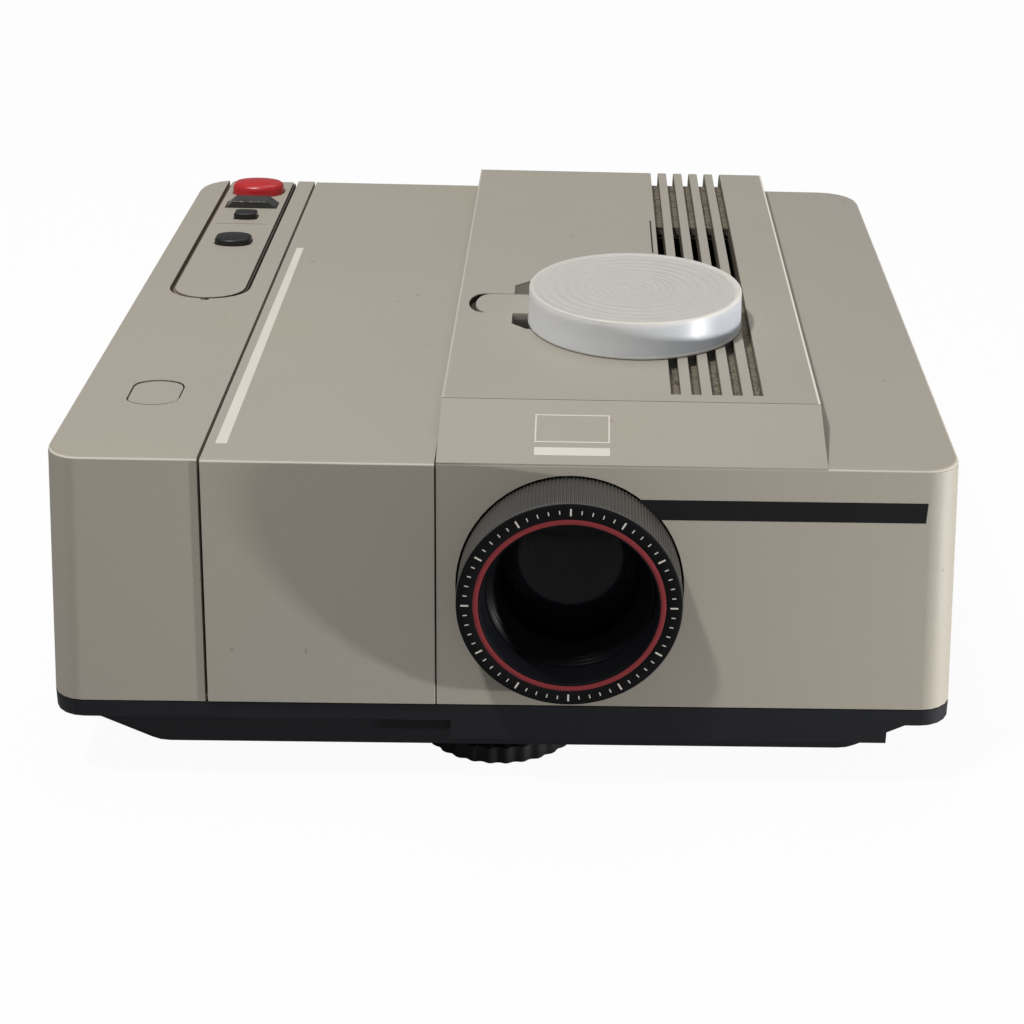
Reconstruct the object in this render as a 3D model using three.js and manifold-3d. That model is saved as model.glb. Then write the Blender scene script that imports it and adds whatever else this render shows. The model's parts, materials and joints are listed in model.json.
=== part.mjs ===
// A slide projector for straight trays, in millimetres. X runs to the right, Y to the
// back and Z up. While it is built, y = 0 is the top edge of its front and z = 0 is the
// table. At the end the whole group moves back, so that its origin lies on the table
// below the middle of the box around it.
import * as THREE from "three";
import { mergeVertices } from "three/addons/utils/BufferGeometryUtils.js";
import Module from "manifold-3d";

const wasm = await Module();
wasm.setup();

// Fits
const gap = 0.3; // between two pieces that touch
const runGap = 0.45; // around a piece that slides or turns
const overrun = 3; // how far a cutter passes what it cuts
const weld = 0.001; // vertices nearer than this are one vertex

// The outer body
const bodyWidth = 270;
const bodyDepth = 282.6;
const topHeight = 103;
const seamHeight = 28; // where the grey shells meet the black base
const frontLean = 8.9; // degrees
const sideDraft = 1.42; // degrees
const wall = 2.6;
const edge = 0.8; // chamfer along the outer top edges
const frontCorner = 10;
const rearCorner = 14;
const cornerSteps = 5;

// The three sections across the front
const controlWidth = 45.3;
const lidWidth = 69.1;
const seamGap = 0.9; // the dark seam beside the tray lid
const lidProud = 0.7; // the tray lid stands this far in front of its neighbours

// The raised lamp cover
const coverWidth = 115.4;
const coverRise = 8.76;
const slopeLength = 28.3;

const shellHeight = topHeight - seamHeight;
const lean = shellHeight * Math.tan(THREE.MathUtils.degToRad(frontLean));
const draft = shellHeight * Math.tan(THREE.MathUtils.degToRad(sideDraft));
const halfWidth = bodyWidth / 2;
const seamLeft = controlWidth - halfWidth;
const seamRight = seamLeft + lidWidth;
const coverRight = seamRight + coverWidth;
const coverTop = topHeight + coverRise;

// Finishes
const finishes = {
  shell: { color: 0xa39a8b, roughness: 0.62, metalness: 0 },
  base: { color: 0x1a1b1e, roughness: 0.55, metalness: 0 },
  rubber: { color: 0x141414, roughness: 0.85, metalness: 0 },
  black: { color: 0x1c1c1d, roughness: 0.45, metalness: 0 },
  red: { color: 0xb82a2c, roughness: 0.35, metalness: 0 },
  milky: { color: 0xdfe3e6, roughness: 0.4, metalness: 0 },
  glass: { color: 0x8b93b4, roughness: 0.05, metalness: 0 },
  steel: { color: 0xb4b6b8, roughness: 0.35, metalness: 1 },
  brass: { color: 0xb08d4a, roughness: 0.4, metalness: 1 },
  copper: { color: 0x9a4f2a, roughness: 0.45, metalness: 0.6 },
  board: { color: 0x2f5b35, roughness: 0.6, metalness: 0 },
  ceramic: { color: 0xe6e1d6, roughness: 0.7, metalness: 0 },
  ivory: { color: 0xd8cfb8, roughness: 0.6, metalness: 0 },
};

// A three.js geometry as a solid that can be joined and cut
function solidOf(geometry) {
  geometry.deleteAttribute("normal");
  geometry.deleteAttribute("uv");
  const merged = mergeVertices(geometry, weld);
  return new wasm.Manifold(
    new wasm.Mesh({
      numProp: 3,
      vertProperties: merged.attributes.position.array,
      triVerts: new Uint32Array(merged.index.array),
    }),
  );
}

// A finished solid as a named mesh with its own material
function piece(name, solid, finish) {
  const { vertProperties, triVerts } = solid.getMesh();
  const geometry = new THREE.BufferGeometry();
  geometry.setAttribute("position", new THREE.BufferAttribute(vertProperties, 3));
  geometry.setIndex(new THREE.BufferAttribute(triVerts, 1));
  geometry.computeVertexNormals();
  const mesh = new THREE.Mesh(geometry, new THREE.MeshStandardMaterial(finish));
  mesh.name = name;
  return mesh;
}

function group(x, y, z, ...members) {
  const made = new THREE.Group();
  made.position.set(x, y, z);
  made.add(...members);
  return made;
}

const joined = (...solids) => solids.reduce((whole, next) => whole.add(next));
const without = (solid, ...cutters) => cutters.reduce((rest, next) => rest.subtract(next), solid);

// A box between two values on each axis
function block([x0, x1], [y0, y1], [z0, z1]) {
  const geometry = new THREE.BoxGeometry(x1 - x0, y1 - y0, z1 - z0);
  geometry.translate((x0 + x1) / 2, (y0 + y1) / 2, (z0 + z1) / 2);
  return solidOf(geometry);
}

// three.js turns and extrudes along its own axes: these turn the result to X, Y or Z
function aim(geometry, axis) {
  if (axis === "x") geometry.rotateZ(-Math.PI / 2);
  if (axis === "z") geometry.rotateX(Math.PI / 2);
  return geometry;
}

// A profile of [radius, distance along the axis] points, turned about X, Y or Z
function turned(axis, profile, steps = 36) {
  const points = profile.map(([radius, along]) => new THREE.Vector2(radius, along));
  const area = points.reduce((sum, point, i) => sum + point.cross(points[(i + 1) % points.length]), 0);
  if (area < 0) points.reverse();
  points.push(points[0].clone());
  return solidOf(aim(new THREE.LatheGeometry(points, steps), axis));
}

// A round bar, or a tube where an inner radius is given, between two places on its axis
function bar(axis, radius, from, to, steps = 20) {
  return turned(axis, [[0, from], [radius, from], [radius, to], [0, to]], steps);
}

function tube(axis, inner, outer, from, to, steps = 36) {
  return turned(axis, [[inner, from], [outer, from], [outer, to], [inner, to]], steps);
}

// A plan outline raised from one height to another
function raised(outline, from, to, curveSteps = 6) {
  const geometry = new THREE.ExtrudeGeometry(outline, {
    depth: to - from,
    bevelEnabled: false,
    curveSegments: curveSteps,
  });
  geometry.translate(0, 0, from);
  return solidOf(geometry);
}

// An outline in Y and Z, drawn out along X
function sideways(outline, from, to, curveSteps = 12) {
  const geometry = new THREE.ExtrudeGeometry(outline, {
    depth: to - from,
    bevelEnabled: false,
    curveSegments: curveSteps,
  });
  const [x, y, z] = [
    new THREE.Vector3(1, 0, 0),
    new THREE.Vector3(0, 1, 0),
    new THREE.Vector3(0, 0, 1),
  ];
  geometry.applyMatrix4(new THREE.Matrix4().makeBasis(y, z, x));
  geometry.translate(from, 0, 0);
  return solidOf(geometry);
}

function polygon(...points) {
  return new THREE.Shape(points.map(([x, y]) => new THREE.Vector2(x, y)));
}

// An outline with straight sides and a front and rear end that bulge as half an ellipse
function keyOutline(middle, width, front, rear, frontBulge, rearBulge) {
  const half = width / 2;
  const outline = new THREE.Shape();
  outline.moveTo(middle + half, rear - rearBulge);
  if (rearBulge > 0) outline.absellipse(middle, rear - rearBulge, half, rearBulge, 0, Math.PI);
  else outline.lineTo(middle - half, rear);
  outline.lineTo(middle - half, front + frontBulge);
  if (frontBulge > 0) outline.absellipse(
    middle,
    front + frontBulge,
    half,
    frontBulge,
    Math.PI,
    2 * Math.PI,
  );
  else outline.lineTo(middle + half, front);
  outline.closePath();
  return outline;
}

// The corners of a plan rectangle as arcs, at one height, as a ring of points
function ring([x0, x1], [y0, y1], front, rear, height) {
  const corners = [
    [x1 - front, y0 + front, front, -Math.PI / 2],
    [x1 - rear, y1 - rear, rear, 0],
    [x0 + rear, y1 - rear, rear, Math.PI / 2],
    [x0 + front, y0 + front, front, Math.PI],
  ];
  return corners.flatMap(([x, y, radius, start]) =>
    Array.from({ length: cornerSteps + 1 }, (_, i) => {
      const angle = start + ((Math.PI / 2) * i) / cornerSteps;
      return [x + radius * Math.cos(angle), y + radius * Math.sin(angle), height];
    }),
  );
}

// A closed skin through rings of as many points each, from the lowest to the highest
function loft(...rings) {
  const count = rings[0].length;
  const faces = [];
  for (let level = 0; level + 1 < rings.length; level += 1)
    for (let i = 0; i < count; i += 1) {
      const next = (i + 1) % count;
      const [a, b] = [level * count + i, level * count + next];
      faces.push(a, b, b + count, a, b + count, a + count);
    }
  const last = (rings.length - 1) * count;
  for (let i = 1; i + 1 < count; i += 1) faces.push(0, i + 1, i, last, last + i, last + i + 1);
  const geometry = new THREE.BufferGeometry();
  geometry.setAttribute("position", new THREE.Float32BufferAttribute(rings.flat(2), 3));
  geometry.setIndex(faces);
  return solidOf(geometry);
}

// The outer envelope, drawn in by an amount on every side and below the top
function envelope(inset, bottom, top) {
  const span = (spread) => [inset - halfWidth - spread, halfWidth - inset + spread];
  const at = (height, drawn) => {
    const share = (topHeight - height) / shellHeight;
    const [x0, x1] = span(draft * share);
    return ring(
      [x0 + drawn, x1 - drawn],
      [inset + drawn - lean * share, bodyDepth - inset - drawn + draft * share],
      frontCorner - inset,
      rearCorner - inset,
      height,
    );
  };
  return inset > 0
    ? loft(at(bottom, 0), at(top, 0))
    : loft(at(bottom, 0), at(top - edge, 0), at(top, edge));
}

const far = bodyWidth + bodyDepth; // wider than the object, for cutting slabs

// The black base: a band, a lower tub with slanting sides, and a block under the lens
const band = 5.6;
const tubBottom = 10.5;
const tubSideInset = 24;
const tubFrontInset = 5;
const tubWall = 2.5;
const blockLeft = 118.5; // from the middle of the left side to the block
const blockWidth = 133.5;
const blockBottom = 16;
const footX = -2.4;
const footY = 20.4;
const stemRadius = 6;
const rearFootRadius = 9;
const rearFootInset = 40;
const rearFootFromBack = 26;
const postRadius = 4.5;
const screwRadius = 1.6;
const screwHead = 3.2;
const screwHeadHeight = 2;
const postInset = 37;
const postFront = 34;
const postRear = 52;
const tubFloor = tubBottom + tubWall;
const baseHalf = halfWidth + draft;
const posts = [
  [postInset - baseHalf, postFront],
  [baseHalf - postInset, postFront],
  [postInset - baseHalf, bodyDepth - postRear],
  [baseHalf - postInset, bodyDepth - postRear],
];
const rearFeet = [
  [rearFootInset - baseHalf, bodyDepth - rearFootFromBack],
  [baseHalf - rearFootInset, bodyDepth - rearFootFromBack],
];

const moved = (solid, x, y, z) => solid.translate([x, y, z]);

// A boss above each post of the base, with a web to the nearest end wall of its housing
const bossHeight = 8;
const bossWeb = 2.4;
const bossWallShare = 0.8; // of the wall, where the web ends

function housingBosses(side) {
  const low = seamHeight + gap;
  const high = low + bossHeight;
  return posts
    .filter(([x]) => x * side > 0)
    .map(([x, y]) => {
      const end = y < bodyDepth / 2 ? wall * bossWallShare - lean : bodyDepth + draft / 2;
      return without(
        joined(
          moved(bar("z", postRadius, low, high, 12), x, y, 0),
          block([x - bossWeb / 2, x + bossWeb / 2], [Math.min(y, end), Math.max(y, end)], [low, high]),
        ),
        moved(bar("z", screwRadius + gap, low - overrun, high - wall, 10), x, y, 0),
      );
    });
}

function tubRing(height, inset) {
  const share = Math.max(0, (seamHeight - band - height) / (seamHeight - band - tubBottom));
  const side = inset + tubSideInset * share;
  const end = inset + (height < seamHeight - band ? tubFrontInset : 0) + (inset > 0 ? 0 : edge * share);
  return ring(
    [side - baseHalf, baseHalf - side],
    [end - lean, bodyDepth + draft - end],
    frontCorner - inset,
    rearCorner - inset,
    height,
  );
}

function tubOutside() {
  const bandLow = seamHeight - band;
  return joined(
    loft(tubRing(bandLow, 0), tubRing(seamHeight - gap, 0)),
    loft(tubRing(tubBottom, 0), tubRing(bandLow - weld, 0), tubRing(bandLow + tubWall, tubFrontInset)),
    block(
      [blockLeft - halfWidth, blockLeft - halfWidth + blockWidth],
      [-lean, tubFrontInset],
      [blockBottom, bandLow],
    ),
  );
}

function makeBase() {
  const inside = loft(
    tubRing(tubFloor, tubWall),
    tubRing(seamHeight - band - weld, tubWall),
    tubRing(seamHeight + overrun, tubWall + tubFrontInset),
  );
  const post = bar("z", postRadius, tubFloor - tubWall / 2, seamHeight, 12);
  const hole = joined(
    bar("z", screwRadius + gap, tubBottom - overrun, seamHeight + overrun, 8),
    bar("z", screwHead + gap, tubBottom - overrun, tubBottom + screwHeadHeight + gap, 12),
  );
  const footTop = seamHeight - band;
  return without(
    joined(
      without(tubOutside(), inside),
      ...posts.map(([x, y]) => moved(post, x, y, 0)),
      moved(bar("z", stemRadius + tubWall, tubFloor - tubWall / 2, footTop), footX, footY, 0),
    ),
    ...posts.map(([x, y]) => moved(hole, x, y, 0)),
    moved(bar("z", stemRadius + runGap, tubBottom - overrun, footTop + overrun), footX, footY, 0),
  );
}

function makeScrew(name, x, y) {
  const head = tubBottom + gap;
  const solid = joined(
    bar("z", screwHead, head, head + screwHeadHeight - gap, 12),
    bar("z", screwRadius, head + screwHeadHeight / 2, seamHeight + postRadius, 10),
  );
  return group(x, y, 0, piece(name, solid, finishes.steel));
}

// The front foot: a ridged disc that is turned, on a stem that screws down out of the base
const footRadius = 25.9;
const discHeight = 8.4;
const discHub = 3;
const stemLength = 14;
const footRidges = 30;
const ridgeDepth = 0.6;

function ridged(radius, depth, count, hole = 0) {
  const outline = new THREE.Shape();
  for (let i = 0; i < count * 2; i += 1) {
    const angle = (Math.PI * i) / count;
    const reach = i % 2 ? radius - depth : radius;
    const point = [reach * Math.cos(angle), reach * Math.sin(angle)];
    if (i) outline.lineTo(...point);
    else outline.moveTo(...point);
  }
  if (hole > 0) outline.holes.push(new THREE.Path().absarc(0, 0, hole, 0, 2 * Math.PI, true));
  return outline;
}

function makeFoot() {
  const disc = joined(
    raised(ridged(footRadius, ridgeDepth, footRidges), discHub, discHeight),
    turned(
      "z",
      [
        [0, 0],
        [footRadius - discHub * 2, 0],
        [footRadius - ridgeDepth, discHub + edge],
        [0, discHub + edge],
      ],
    ),
  );
  const stem = without(
    bar("z", stemRadius, discHeight + gap, discHeight + stemLength, 24),
    block(
      [-stemRadius / 2, stemRadius / 2],
      [-edge, edge],
      [discHeight + stemLength - edge, discHeight + stemLength + overrun],
    ),
  );
  return group(
    footX,
    footY,
    0,
    piece("foot_disc", disc, finishes.rubber),
    piece("foot_stem", stem, finishes.steel),
  );
}

function makeRearFoot(name, [x, y]) {
  const profile = [
    [0, 0],
    [rearFootRadius - edge, 0],
    [rearFootRadius, edge],
    [rearFootRadius - edge, tubBottom - gap],
    [0, tubBottom - gap],
  ];
  return group(x, y, 0, piece(name, turned("z", profile, 24), finishes.rubber));
}

// The control section on the left, with the bay for the remote handset
const remoteMiddle = 24.1; // from the left side of the body
const bayWidth = 28.4;
const bayLength = 145.8;
const bayFront = bodyDepth - bayLength;
const bayBulge = 11.5;
const bayDepth = 19;
const bayFloor = 2;
const handsetGroove = 1.1;
const notchRadius = 1.6;
const powerWidth = 15.4;
const powerFront = 40.4;
const powerLength = 19.7;
const powerBulge = 5;
const powerTravel = 2.5;
const powerMiddle = 23.6; // from the left side of the body
const powerX = powerMiddle - halfWidth;
const remoteX = remoteMiddle - halfWidth;
const gearWindowLow = 35;
const gearWindowHigh = 45;
const gearY = 78;
const gearWindow = 30;

function sectionSlab(x0, x1) {
  return block([x0, x1], [-far, far], [-overrun, far]);
}

function makeControlHousing() {
  const right = seamLeft - seamGap / 2;
  const outside = envelope(0, seamHeight, topHeight).intersect(sectionSlab(-far, right));
  const inside = envelope(
    wall,
    seamHeight - overrun,
    topHeight - wall,
  ).intersect(sectionSlab(-far, right - wall));
  const bay = raised(
    keyOutline(remoteX, bayWidth, bayFront, bodyDepth + overrun, bayBulge, 0),
    topHeight - bayDepth,
    topHeight + overrun,
  );
  const bayShell = raised(
    keyOutline(
      remoteX,
      bayWidth + 2 * bayFloor,
      bayFront - bayFloor,
      bodyDepth,
      bayBulge + bayFloor,
      0,
    ),
    topHeight - bayDepth - bayFloor,
    topHeight - wall / 2,
  );
  const power = raised(
    keyOutline(
      powerX,
      powerWidth + 2 * gap,
      powerFront - gap,
      powerFront + powerLength + gap,
      powerBulge,
      powerBulge,
    ),
    topHeight - wall - overrun,
    topHeight + overrun,
    4,
  );
  const window = block(
    [right - wall - overrun, right + overrun],
    [gearY - gearWindow / 2, gearY + gearWindow / 2],
    [gearWindowLow, gearWindowHigh],
  );
  const notch = moved(
    bar("z", notchRadius, topHeight - wall, topHeight + overrun, 12),
    remoteX,
    bayFront,
    0,
  );
  return piece(
    "control_housing",
    without(
      joined(without(outside, inside), bayShell.intersect(outside), ...housingBosses(-1)),
      bay,
      power,
      window,
      notch,
    ),
    finishes.shell,
  );
}

function makePower() {
  const height = topHeight - wall;
  const button = raised(
    keyOutline(powerX, powerWidth, powerFront, powerFront + powerLength, powerBulge, powerBulge),
    height - powerTravel,
    topHeight - gap,
    4,
  );
  const bodyTop = height - gap;
  const well = powerTravel * 2 + gap;
  const body = without(
    block(
      [powerX - powerWidth / 2 - wall, powerX + powerWidth / 2 + wall],
      [powerFront - wall, powerFront + powerLength + wall],
      [bodyTop - well - powerLength, bodyTop],
    ),
    raised(
      keyOutline(
        powerX,
        powerWidth + 2 * gap,
        powerFront - gap,
        powerFront + powerLength + gap,
        powerBulge,
        powerBulge,
      ),
      bodyTop - well,
      bodyTop + overrun,
      4,
    ),
  );
  return [piece("power_button", button, finishes.shell), piece("power_switch", body, finishes.black)];
}

// The remote handset, which lies in its bay and lifts out; its keys sit in wells
const handsetBack = 1.5; // short of the rear of the body
const keyTravel = 1.5;
const keySink = 3;
const rockerSink = 4;
const keyBulge = 1.2;
const redBulge = 6;
const largeBulge = 4;
const keys = {
  remote_key_red: {
    width: 20,
    fromRear: 24.1,
    length: 15,
    bulges: [redBulge, redBulge],
    rise: 5,
    sink: keySink,
    finish: finishes.red,
  },
  remote_rocker: {
    width: 20,
    fromRear: 39,
    length: 8.6,
    bulges: [0, 0],
    rise: 2.6,
    sink: rockerSink,
    finish: finishes.black,
  },
  remote_key_small: {
    width: 8.6,
    fromRear: 54.3,
    length: 6.8,
    bulges: [keyBulge, keyBulge],
    rise: 2.6,
    sink: keySink,
    finish: finishes.black,
  },
  remote_key_large: {
    width: 13.4,
    fromRear: 87.6,
    length: 11.6,
    bulges: [largeBulge, largeBulge],
    rise: 2.6,
    sink: keySink,
    finish: finishes.black,
  },
};
const rockerTaper = 3.4;
const rockerClear = 1;

const keyFront = (key) => bodyDepth - key.fromRear;

// A key's plan, with its sides drawn in by one amount and its ends by another
function keyPlan(key, sides, ends) {
  const front = keyFront(key) + ends;
  return keyOutline(0, key.width - 2 * sides, front, front + key.length - 2 * ends, ...key.bulges);
}

function makeRemote() {
  const low = topHeight - bayDepth + gap;
  const rear = bodyDepth - handsetBack;
  const width = bayWidth - 2 * handsetGroove;
  const front = bayFront + handsetGroove / 2;
  const outline = keyOutline(0, width, front, rear, bayBulge, 0);
  const chamfered = keyOutline(0, width - 2 * edge, front + edge, rear - edge, bayBulge - edge, 0);
  const wells = Object.values(keys).map((key) =>
    raised(keyPlan(key, -gap, -gap), topHeight - key.sink - keyTravel - gap, topHeight + overrun, 4),
  );
  const body = joined(
    raised(outline, low, topHeight - edge),
    raised(chamfered, topHeight - 2 * edge, topHeight),
  );
  const caps = Object.entries(keys).map(([name, key]) => {
    const keyLow = topHeight - key.sink;
    if (name !== "remote_rocker") return piece(name, roundedTop(key), key.finish);
    const half = key.width / 2;
    const side = polygon(
      [-half, topHeight],
      [-half + rockerTaper, topHeight + key.rise],
      [half - rockerTaper, topHeight + key.rise],
      [half, topHeight],
      [half - rockerClear, keyLow],
      [rockerClear - half, keyLow],
    );
    return piece(name, across(side, keyFront(key), keyFront(key) + key.length), key.finish);
  });
  return group(
    remoteX,
    0,
    0,
    piece("remote_handset", without(body, ...wells), finishes.shell),
    ...caps,
  );
}

// An outline in X and Z, drawn out along Y
function across(outline, from, to, curveSteps = 12) {
  const geometry = new THREE.ExtrudeGeometry(outline, {
    depth: to - from,
    bevelEnabled: false,
    curveSegments: curveSteps,
  });
  geometry.rotateX(Math.PI / 2);
  geometry.translate(0, to, 0);
  return solidOf(geometry);
}

// A key with a stepped top
function roundedTop(key) {
  const round = Math.min(key.rise, key.width / 2) / 2;
  const low = topHeight - key.sink;
  return joined(
    raised(keyPlan(key, 0, 0), low, topHeight + key.rise - round, 4),
    raised(keyPlan(key, round / 2, round / 2), low, topHeight + key.rise, 4),
  );
}

// The tray channel down the middle: an open trough with a slot for the slide pusher
const troughWall = 2;
const troughFloor = 2;
const troughUnder = 30;
const troughDrop = 13;
const troughTop = topHeight - troughDrop;
const troughFront = 3;
const troughGap = 0.9; // from its sides to the housings beside it
const troughBack = 6;
const troughLip = 3;
const pusherSlot = 5;
const gateY = 112;
const slideSize = 50;
const slideDrop = 37.5; // the optical axis below the top
const axisHeight = topHeight - slideDrop;
const slideSlot = 5;
const laneWindow = 22; // the opening in the walls between the channel and the gate
const lidPinRadius = 1.6;
const lidPivotBack = 5.6; // from the rear of the body
const lidPivotDrop = 6; // below the top
const lidEarRadius = 3;
const lidPivotY = bodyDepth - lidPivotBack;
const lidPivotZ = topHeight - lidPivotDrop;
const troughLeft = seamLeft + troughGap;
const troughRight = seamRight - troughGap;

function makeTrough() {
  const floorTop = troughUnder + troughFloor;
  const rear = bodyDepth - troughBack + lidEarRadius;
  const earWeb = (x0) =>
    joined(
      moved(bar("x", lidEarRadius, x0, x0 + troughWall, 20), 0, lidPivotY, lidPivotZ),
      block(
        [x0, x0 + troughWall],
        [lidPivotY - lidEarRadius, lidPivotY + lidEarRadius],
        [troughTop - overrun, lidPivotZ],
      ),
    );
  const solid = joined(
    block([troughLeft, troughRight], [troughFront, rear], [troughUnder, floorTop]),
    block([troughLeft, troughLeft + troughWall], [troughFront, rear], [troughUnder, troughTop]),
    block([troughRight - troughWall, troughRight], [troughFront, rear], [troughUnder, troughTop]),
    earWeb(troughLeft),
    earWeb(troughRight - troughWall),
  );
  const slotReach = slideSize / 2 + runGap * 2;
  return piece(
    "tray_channel",
    without(
      solid,
      block(
        [troughLeft + troughWall + gap, troughRight + overrun],
        [gateY - pusherSlot / 2, gateY + pusherSlot / 2],
        [troughUnder - overrun, floorTop + overrun],
      ),
      block(
        [troughRight - troughWall - overrun, troughRight + overrun],
        [gateY - slideSlot / 2, gateY + slideSlot / 2],
        [troughUnder - overrun, axisHeight + slotReach],
      ),
      block(
        [troughRight - troughWall - overrun, troughRight + overrun],
        [gateY - laneWindow / 2, gateY + laneWindow / 2],
        [axisHeight - slotReach, axisHeight + slotReach],
      ),
      block(
        [troughLeft - overrun, troughLeft + troughWall + overrun],
        [gearY - gearWindow / 2, gearY + gearWindow / 2],
        [gearWindowLow, gearWindowHigh],
      ),
      moved(
        bar("x", lidPinRadius + gap, troughLeft - overrun, troughRight + overrun, 12),
        0,
        lidPivotY,
        lidPivotZ,
      ),
      block(
        [troughLeft + troughWall, troughRight - troughWall],
        [bodyDepth - troughBack - troughLip, bodyDepth + overrun],
        [floorTop - troughFloor / 2, floorTop + overrun],
      ),
    ),
    finishes.black,
  );
}

// The tray lid: top and front in one, with ribs and two lugs round the hinge pin
const lidSide = 0.4; // from the lid to the raised cover beside it
const lidRib = 1.6;
const lidRibDrop = 3;
const lidLugRadius = 3;
const lidLugWidth = 5;
const lidLugInset = 4; // from the channel wall to the lug
const lidLeft = seamLeft + seamGap / 2;
const lidRight = seamRight - lidSide;

function makeLid() {
  const span = sectionSlab(lidLeft, lidRight);
  const outside = envelope(0, seamHeight, topHeight).translate([0, -lidProud, 0]);
  const inside = envelope(wall, seamHeight - overrun, topHeight - wall).translate([0, -lidProud, 0]);
  const rearCut = block([-far, far], [bodyDepth - wall, far], [-far, topHeight - wall]);
  const rearTrim = block([-far, far], [bodyDepth - edge, far], [-far, far]);
  const lowFront = block([-far, far], [-far, far], [-far, seamHeight + gap]);
  const behind = block([-far, far], [frontCorner, far], [-far, topHeight - wall]);
  const cover = without(outside, inside, rearCut, rearTrim, lowFront, behind).intersect(span);
  const ribs = [lidLeft + wall * 3, lidRight - wall * 3].map((x) =>
    block(
      [x - lidRib / 2, x + lidRib / 2],
      [wall, lidPivotY - lidLugRadius * 3],
      [topHeight - wall - lidRibDrop, topHeight - wall / 2],
    ),
  );
  const lug = (x) =>
    joined(
      moved(bar("x", lidLugRadius, x, x + lidLugWidth, 20), 0, lidPivotY, lidPivotZ),
      block(
        [x, x + lidLugWidth],
        [lidPivotY - lidLugRadius, lidPivotY + lidLugRadius],
        [lidPivotZ, topHeight - wall / 2],
      ),
    );
  const lugs = [
    lug(troughLeft + troughWall + gap),
    lug(troughRight - troughWall - gap - lidLugWidth),
  ];
  const pinHole = moved(
    bar("x", lidPinRadius + gap, lidLeft - overrun, lidRight + overrun, 12),
    0,
    lidPivotY,
    lidPivotZ,
  );
  return piece("tray_lid", without(joined(cover, ...ribs, ...lugs), pinHole), finishes.shell);
}

function makeLidPin() {
  const pin = bar("x", lidPinRadius, troughLeft, troughRight, 12);
  return group(0, lidPivotY, lidPivotZ, piece("lid_hinge_pin", pin, finishes.steel));
}

// The optics section on the right: front with the lens opening, slope, right side and rear
const lensMiddle = 39.8; // from the seam beside the tray lid
const lensRadius = 33.5;
const lensX = seamRight + lensMiddle;
const lensClear = 0.6;
const lensHole = lensRadius + lensClear;
const leftWallTop = 3.8; // the wall under the cover's left skirt stops this far below the top
const ledgeWidth = 15;
const gutterDrop = 2.6;
const gutterWidth = 9.5;
const coverPinRadius = 1.2;
const coverPinInset = 5.6; // from the cover's right edge
const coverPinRise = 3; // above the top of the section
const coverPinX = coverRight - coverPinInset;
const coverPinZ = topHeight + coverPinRise;
const coverEarRadius = 2.4;
const coverEarLength = 4;
const coverEarPost = 1.7; // the ear's post stands left of the pin, clear of the cover's swing
const coverEarClear = 1.3; // from the pin's middle to the post
const coverFront = slopeLength + gap;
const earShares = [0.12, 0.88]; // places of the hinge ears along the cover
const coverEars = earShares.map((share) => coverFront + (bodyDepth - coverFront) * share);
const socketWidth = 74;
const socketHeight = 34;
const socketRight = 22; // from the right side to the opening
const socketLow = 40;
const socketX1 = halfWidth - socketRight;
const socketX0 = socketX1 - socketWidth;
const rearSkirt = 15; // the cover's rear wall reaches this far below the top

function slopeSolid(drop, x0, x1) {
  const outline = polygon(
    [0, topHeight - drop - wall],
    [slopeLength, topHeight - drop - wall],
    [slopeLength, coverTop - drop],
    [0, topHeight - drop],
  );
  return sideways(outline, x0, x1);
}

function makeOpticsHousing() {
  const left = seamRight;
  const slab = sectionSlab(left, far);
  const outside = envelope(0, seamHeight, topHeight).intersect(slab);
  const inside = envelope(
    wall,
    seamHeight - overrun,
    topHeight - wall,
  ).intersect(sectionSlab(left + wall, far));
  const slope = slopeSolid(0, left, coverRight);
  const slopeHollow = sideways(
    polygon(
      [wall, topHeight - wall - edge],
      [slopeLength - wall, topHeight - wall - edge],
      [slopeLength - wall, coverTop - wall - edge],
      [wall * 2, topHeight - wall / 2],
    ),
    left + wall,
    coverRight - wall,
  );
  const well = block(
    [left - overrun, coverRight + gap],
    [coverFront - gap, far],
    [topHeight - leftWallTop, far],
  );
  const opening = block(
    [left + wall, coverRight - ledgeWidth],
    [coverFront - gap, bodyDepth - wall - gap],
    [topHeight - wall - overrun, far],
  );
  const gutter = block(
    [coverRight - ledgeWidth, coverRight + gap],
    [coverFront - gap, bodyDepth - wall],
    [topHeight - leftWallTop - gutterDrop, topHeight - leftWallTop],
  );
  const ears = coverEars.map((y) =>
    joined(
      moved(bar("y", coverEarRadius, y, y + coverEarLength, 16), coverPinX, 0, coverPinZ),
      block(
        [coverPinX - coverEarClear - coverEarPost, coverPinX - coverEarClear],
        [y, y + coverEarLength],
        [topHeight - leftWallTop - wall / 2, coverPinZ],
      ),
    ),
  );
  const rearNotch = block(
    [left - overrun, coverRight + gap],
    [bodyDepth - wall - gap, far],
    [topHeight - rearSkirt - gap, far],
  );
  const sockets = block(
    [socketX0, socketX1],
    [bodyDepth - wall * 2, far],
    [socketLow, socketLow + socketHeight],
  );
  const lens = moved(bar("y", lensHole, -far, slopeLength, 64), lensX, 0, axisHeight);
  const slides = block(
    [left - overrun, left + wall + overrun],
    [gateY - laneWindow / 2, gateY + laneWindow / 2],
    [seamHeight - overrun, axisHeight + slideSize / 2 + runGap * 2],
  );
  const shell = without(
    joined(without(outside, inside, well, rearNotch), slope),
    slopeHollow,
    opening.intersect(sectionSlab(left + wall, far)),
  );
  const strip = block(
    [coverRight - ledgeWidth, coverRight + wall],
    [slopeLength - wall, bodyDepth - wall / 2],
    [topHeight - leftWallTop - gutterDrop, topHeight - leftWallTop],
  );
  return piece(
    "optics_housing",
    without(
      joined(without(shell, gutter), strip.subtract(rearNotch), ...ears, ...housingBosses(1)),
      sockets,
      lens,
      slides,
      moved(bar("y", coverPinRadius + gap, coverFront, far, 12), coverPinX, 0, coverPinZ),
    ),
    finishes.shell,
  );
}

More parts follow.
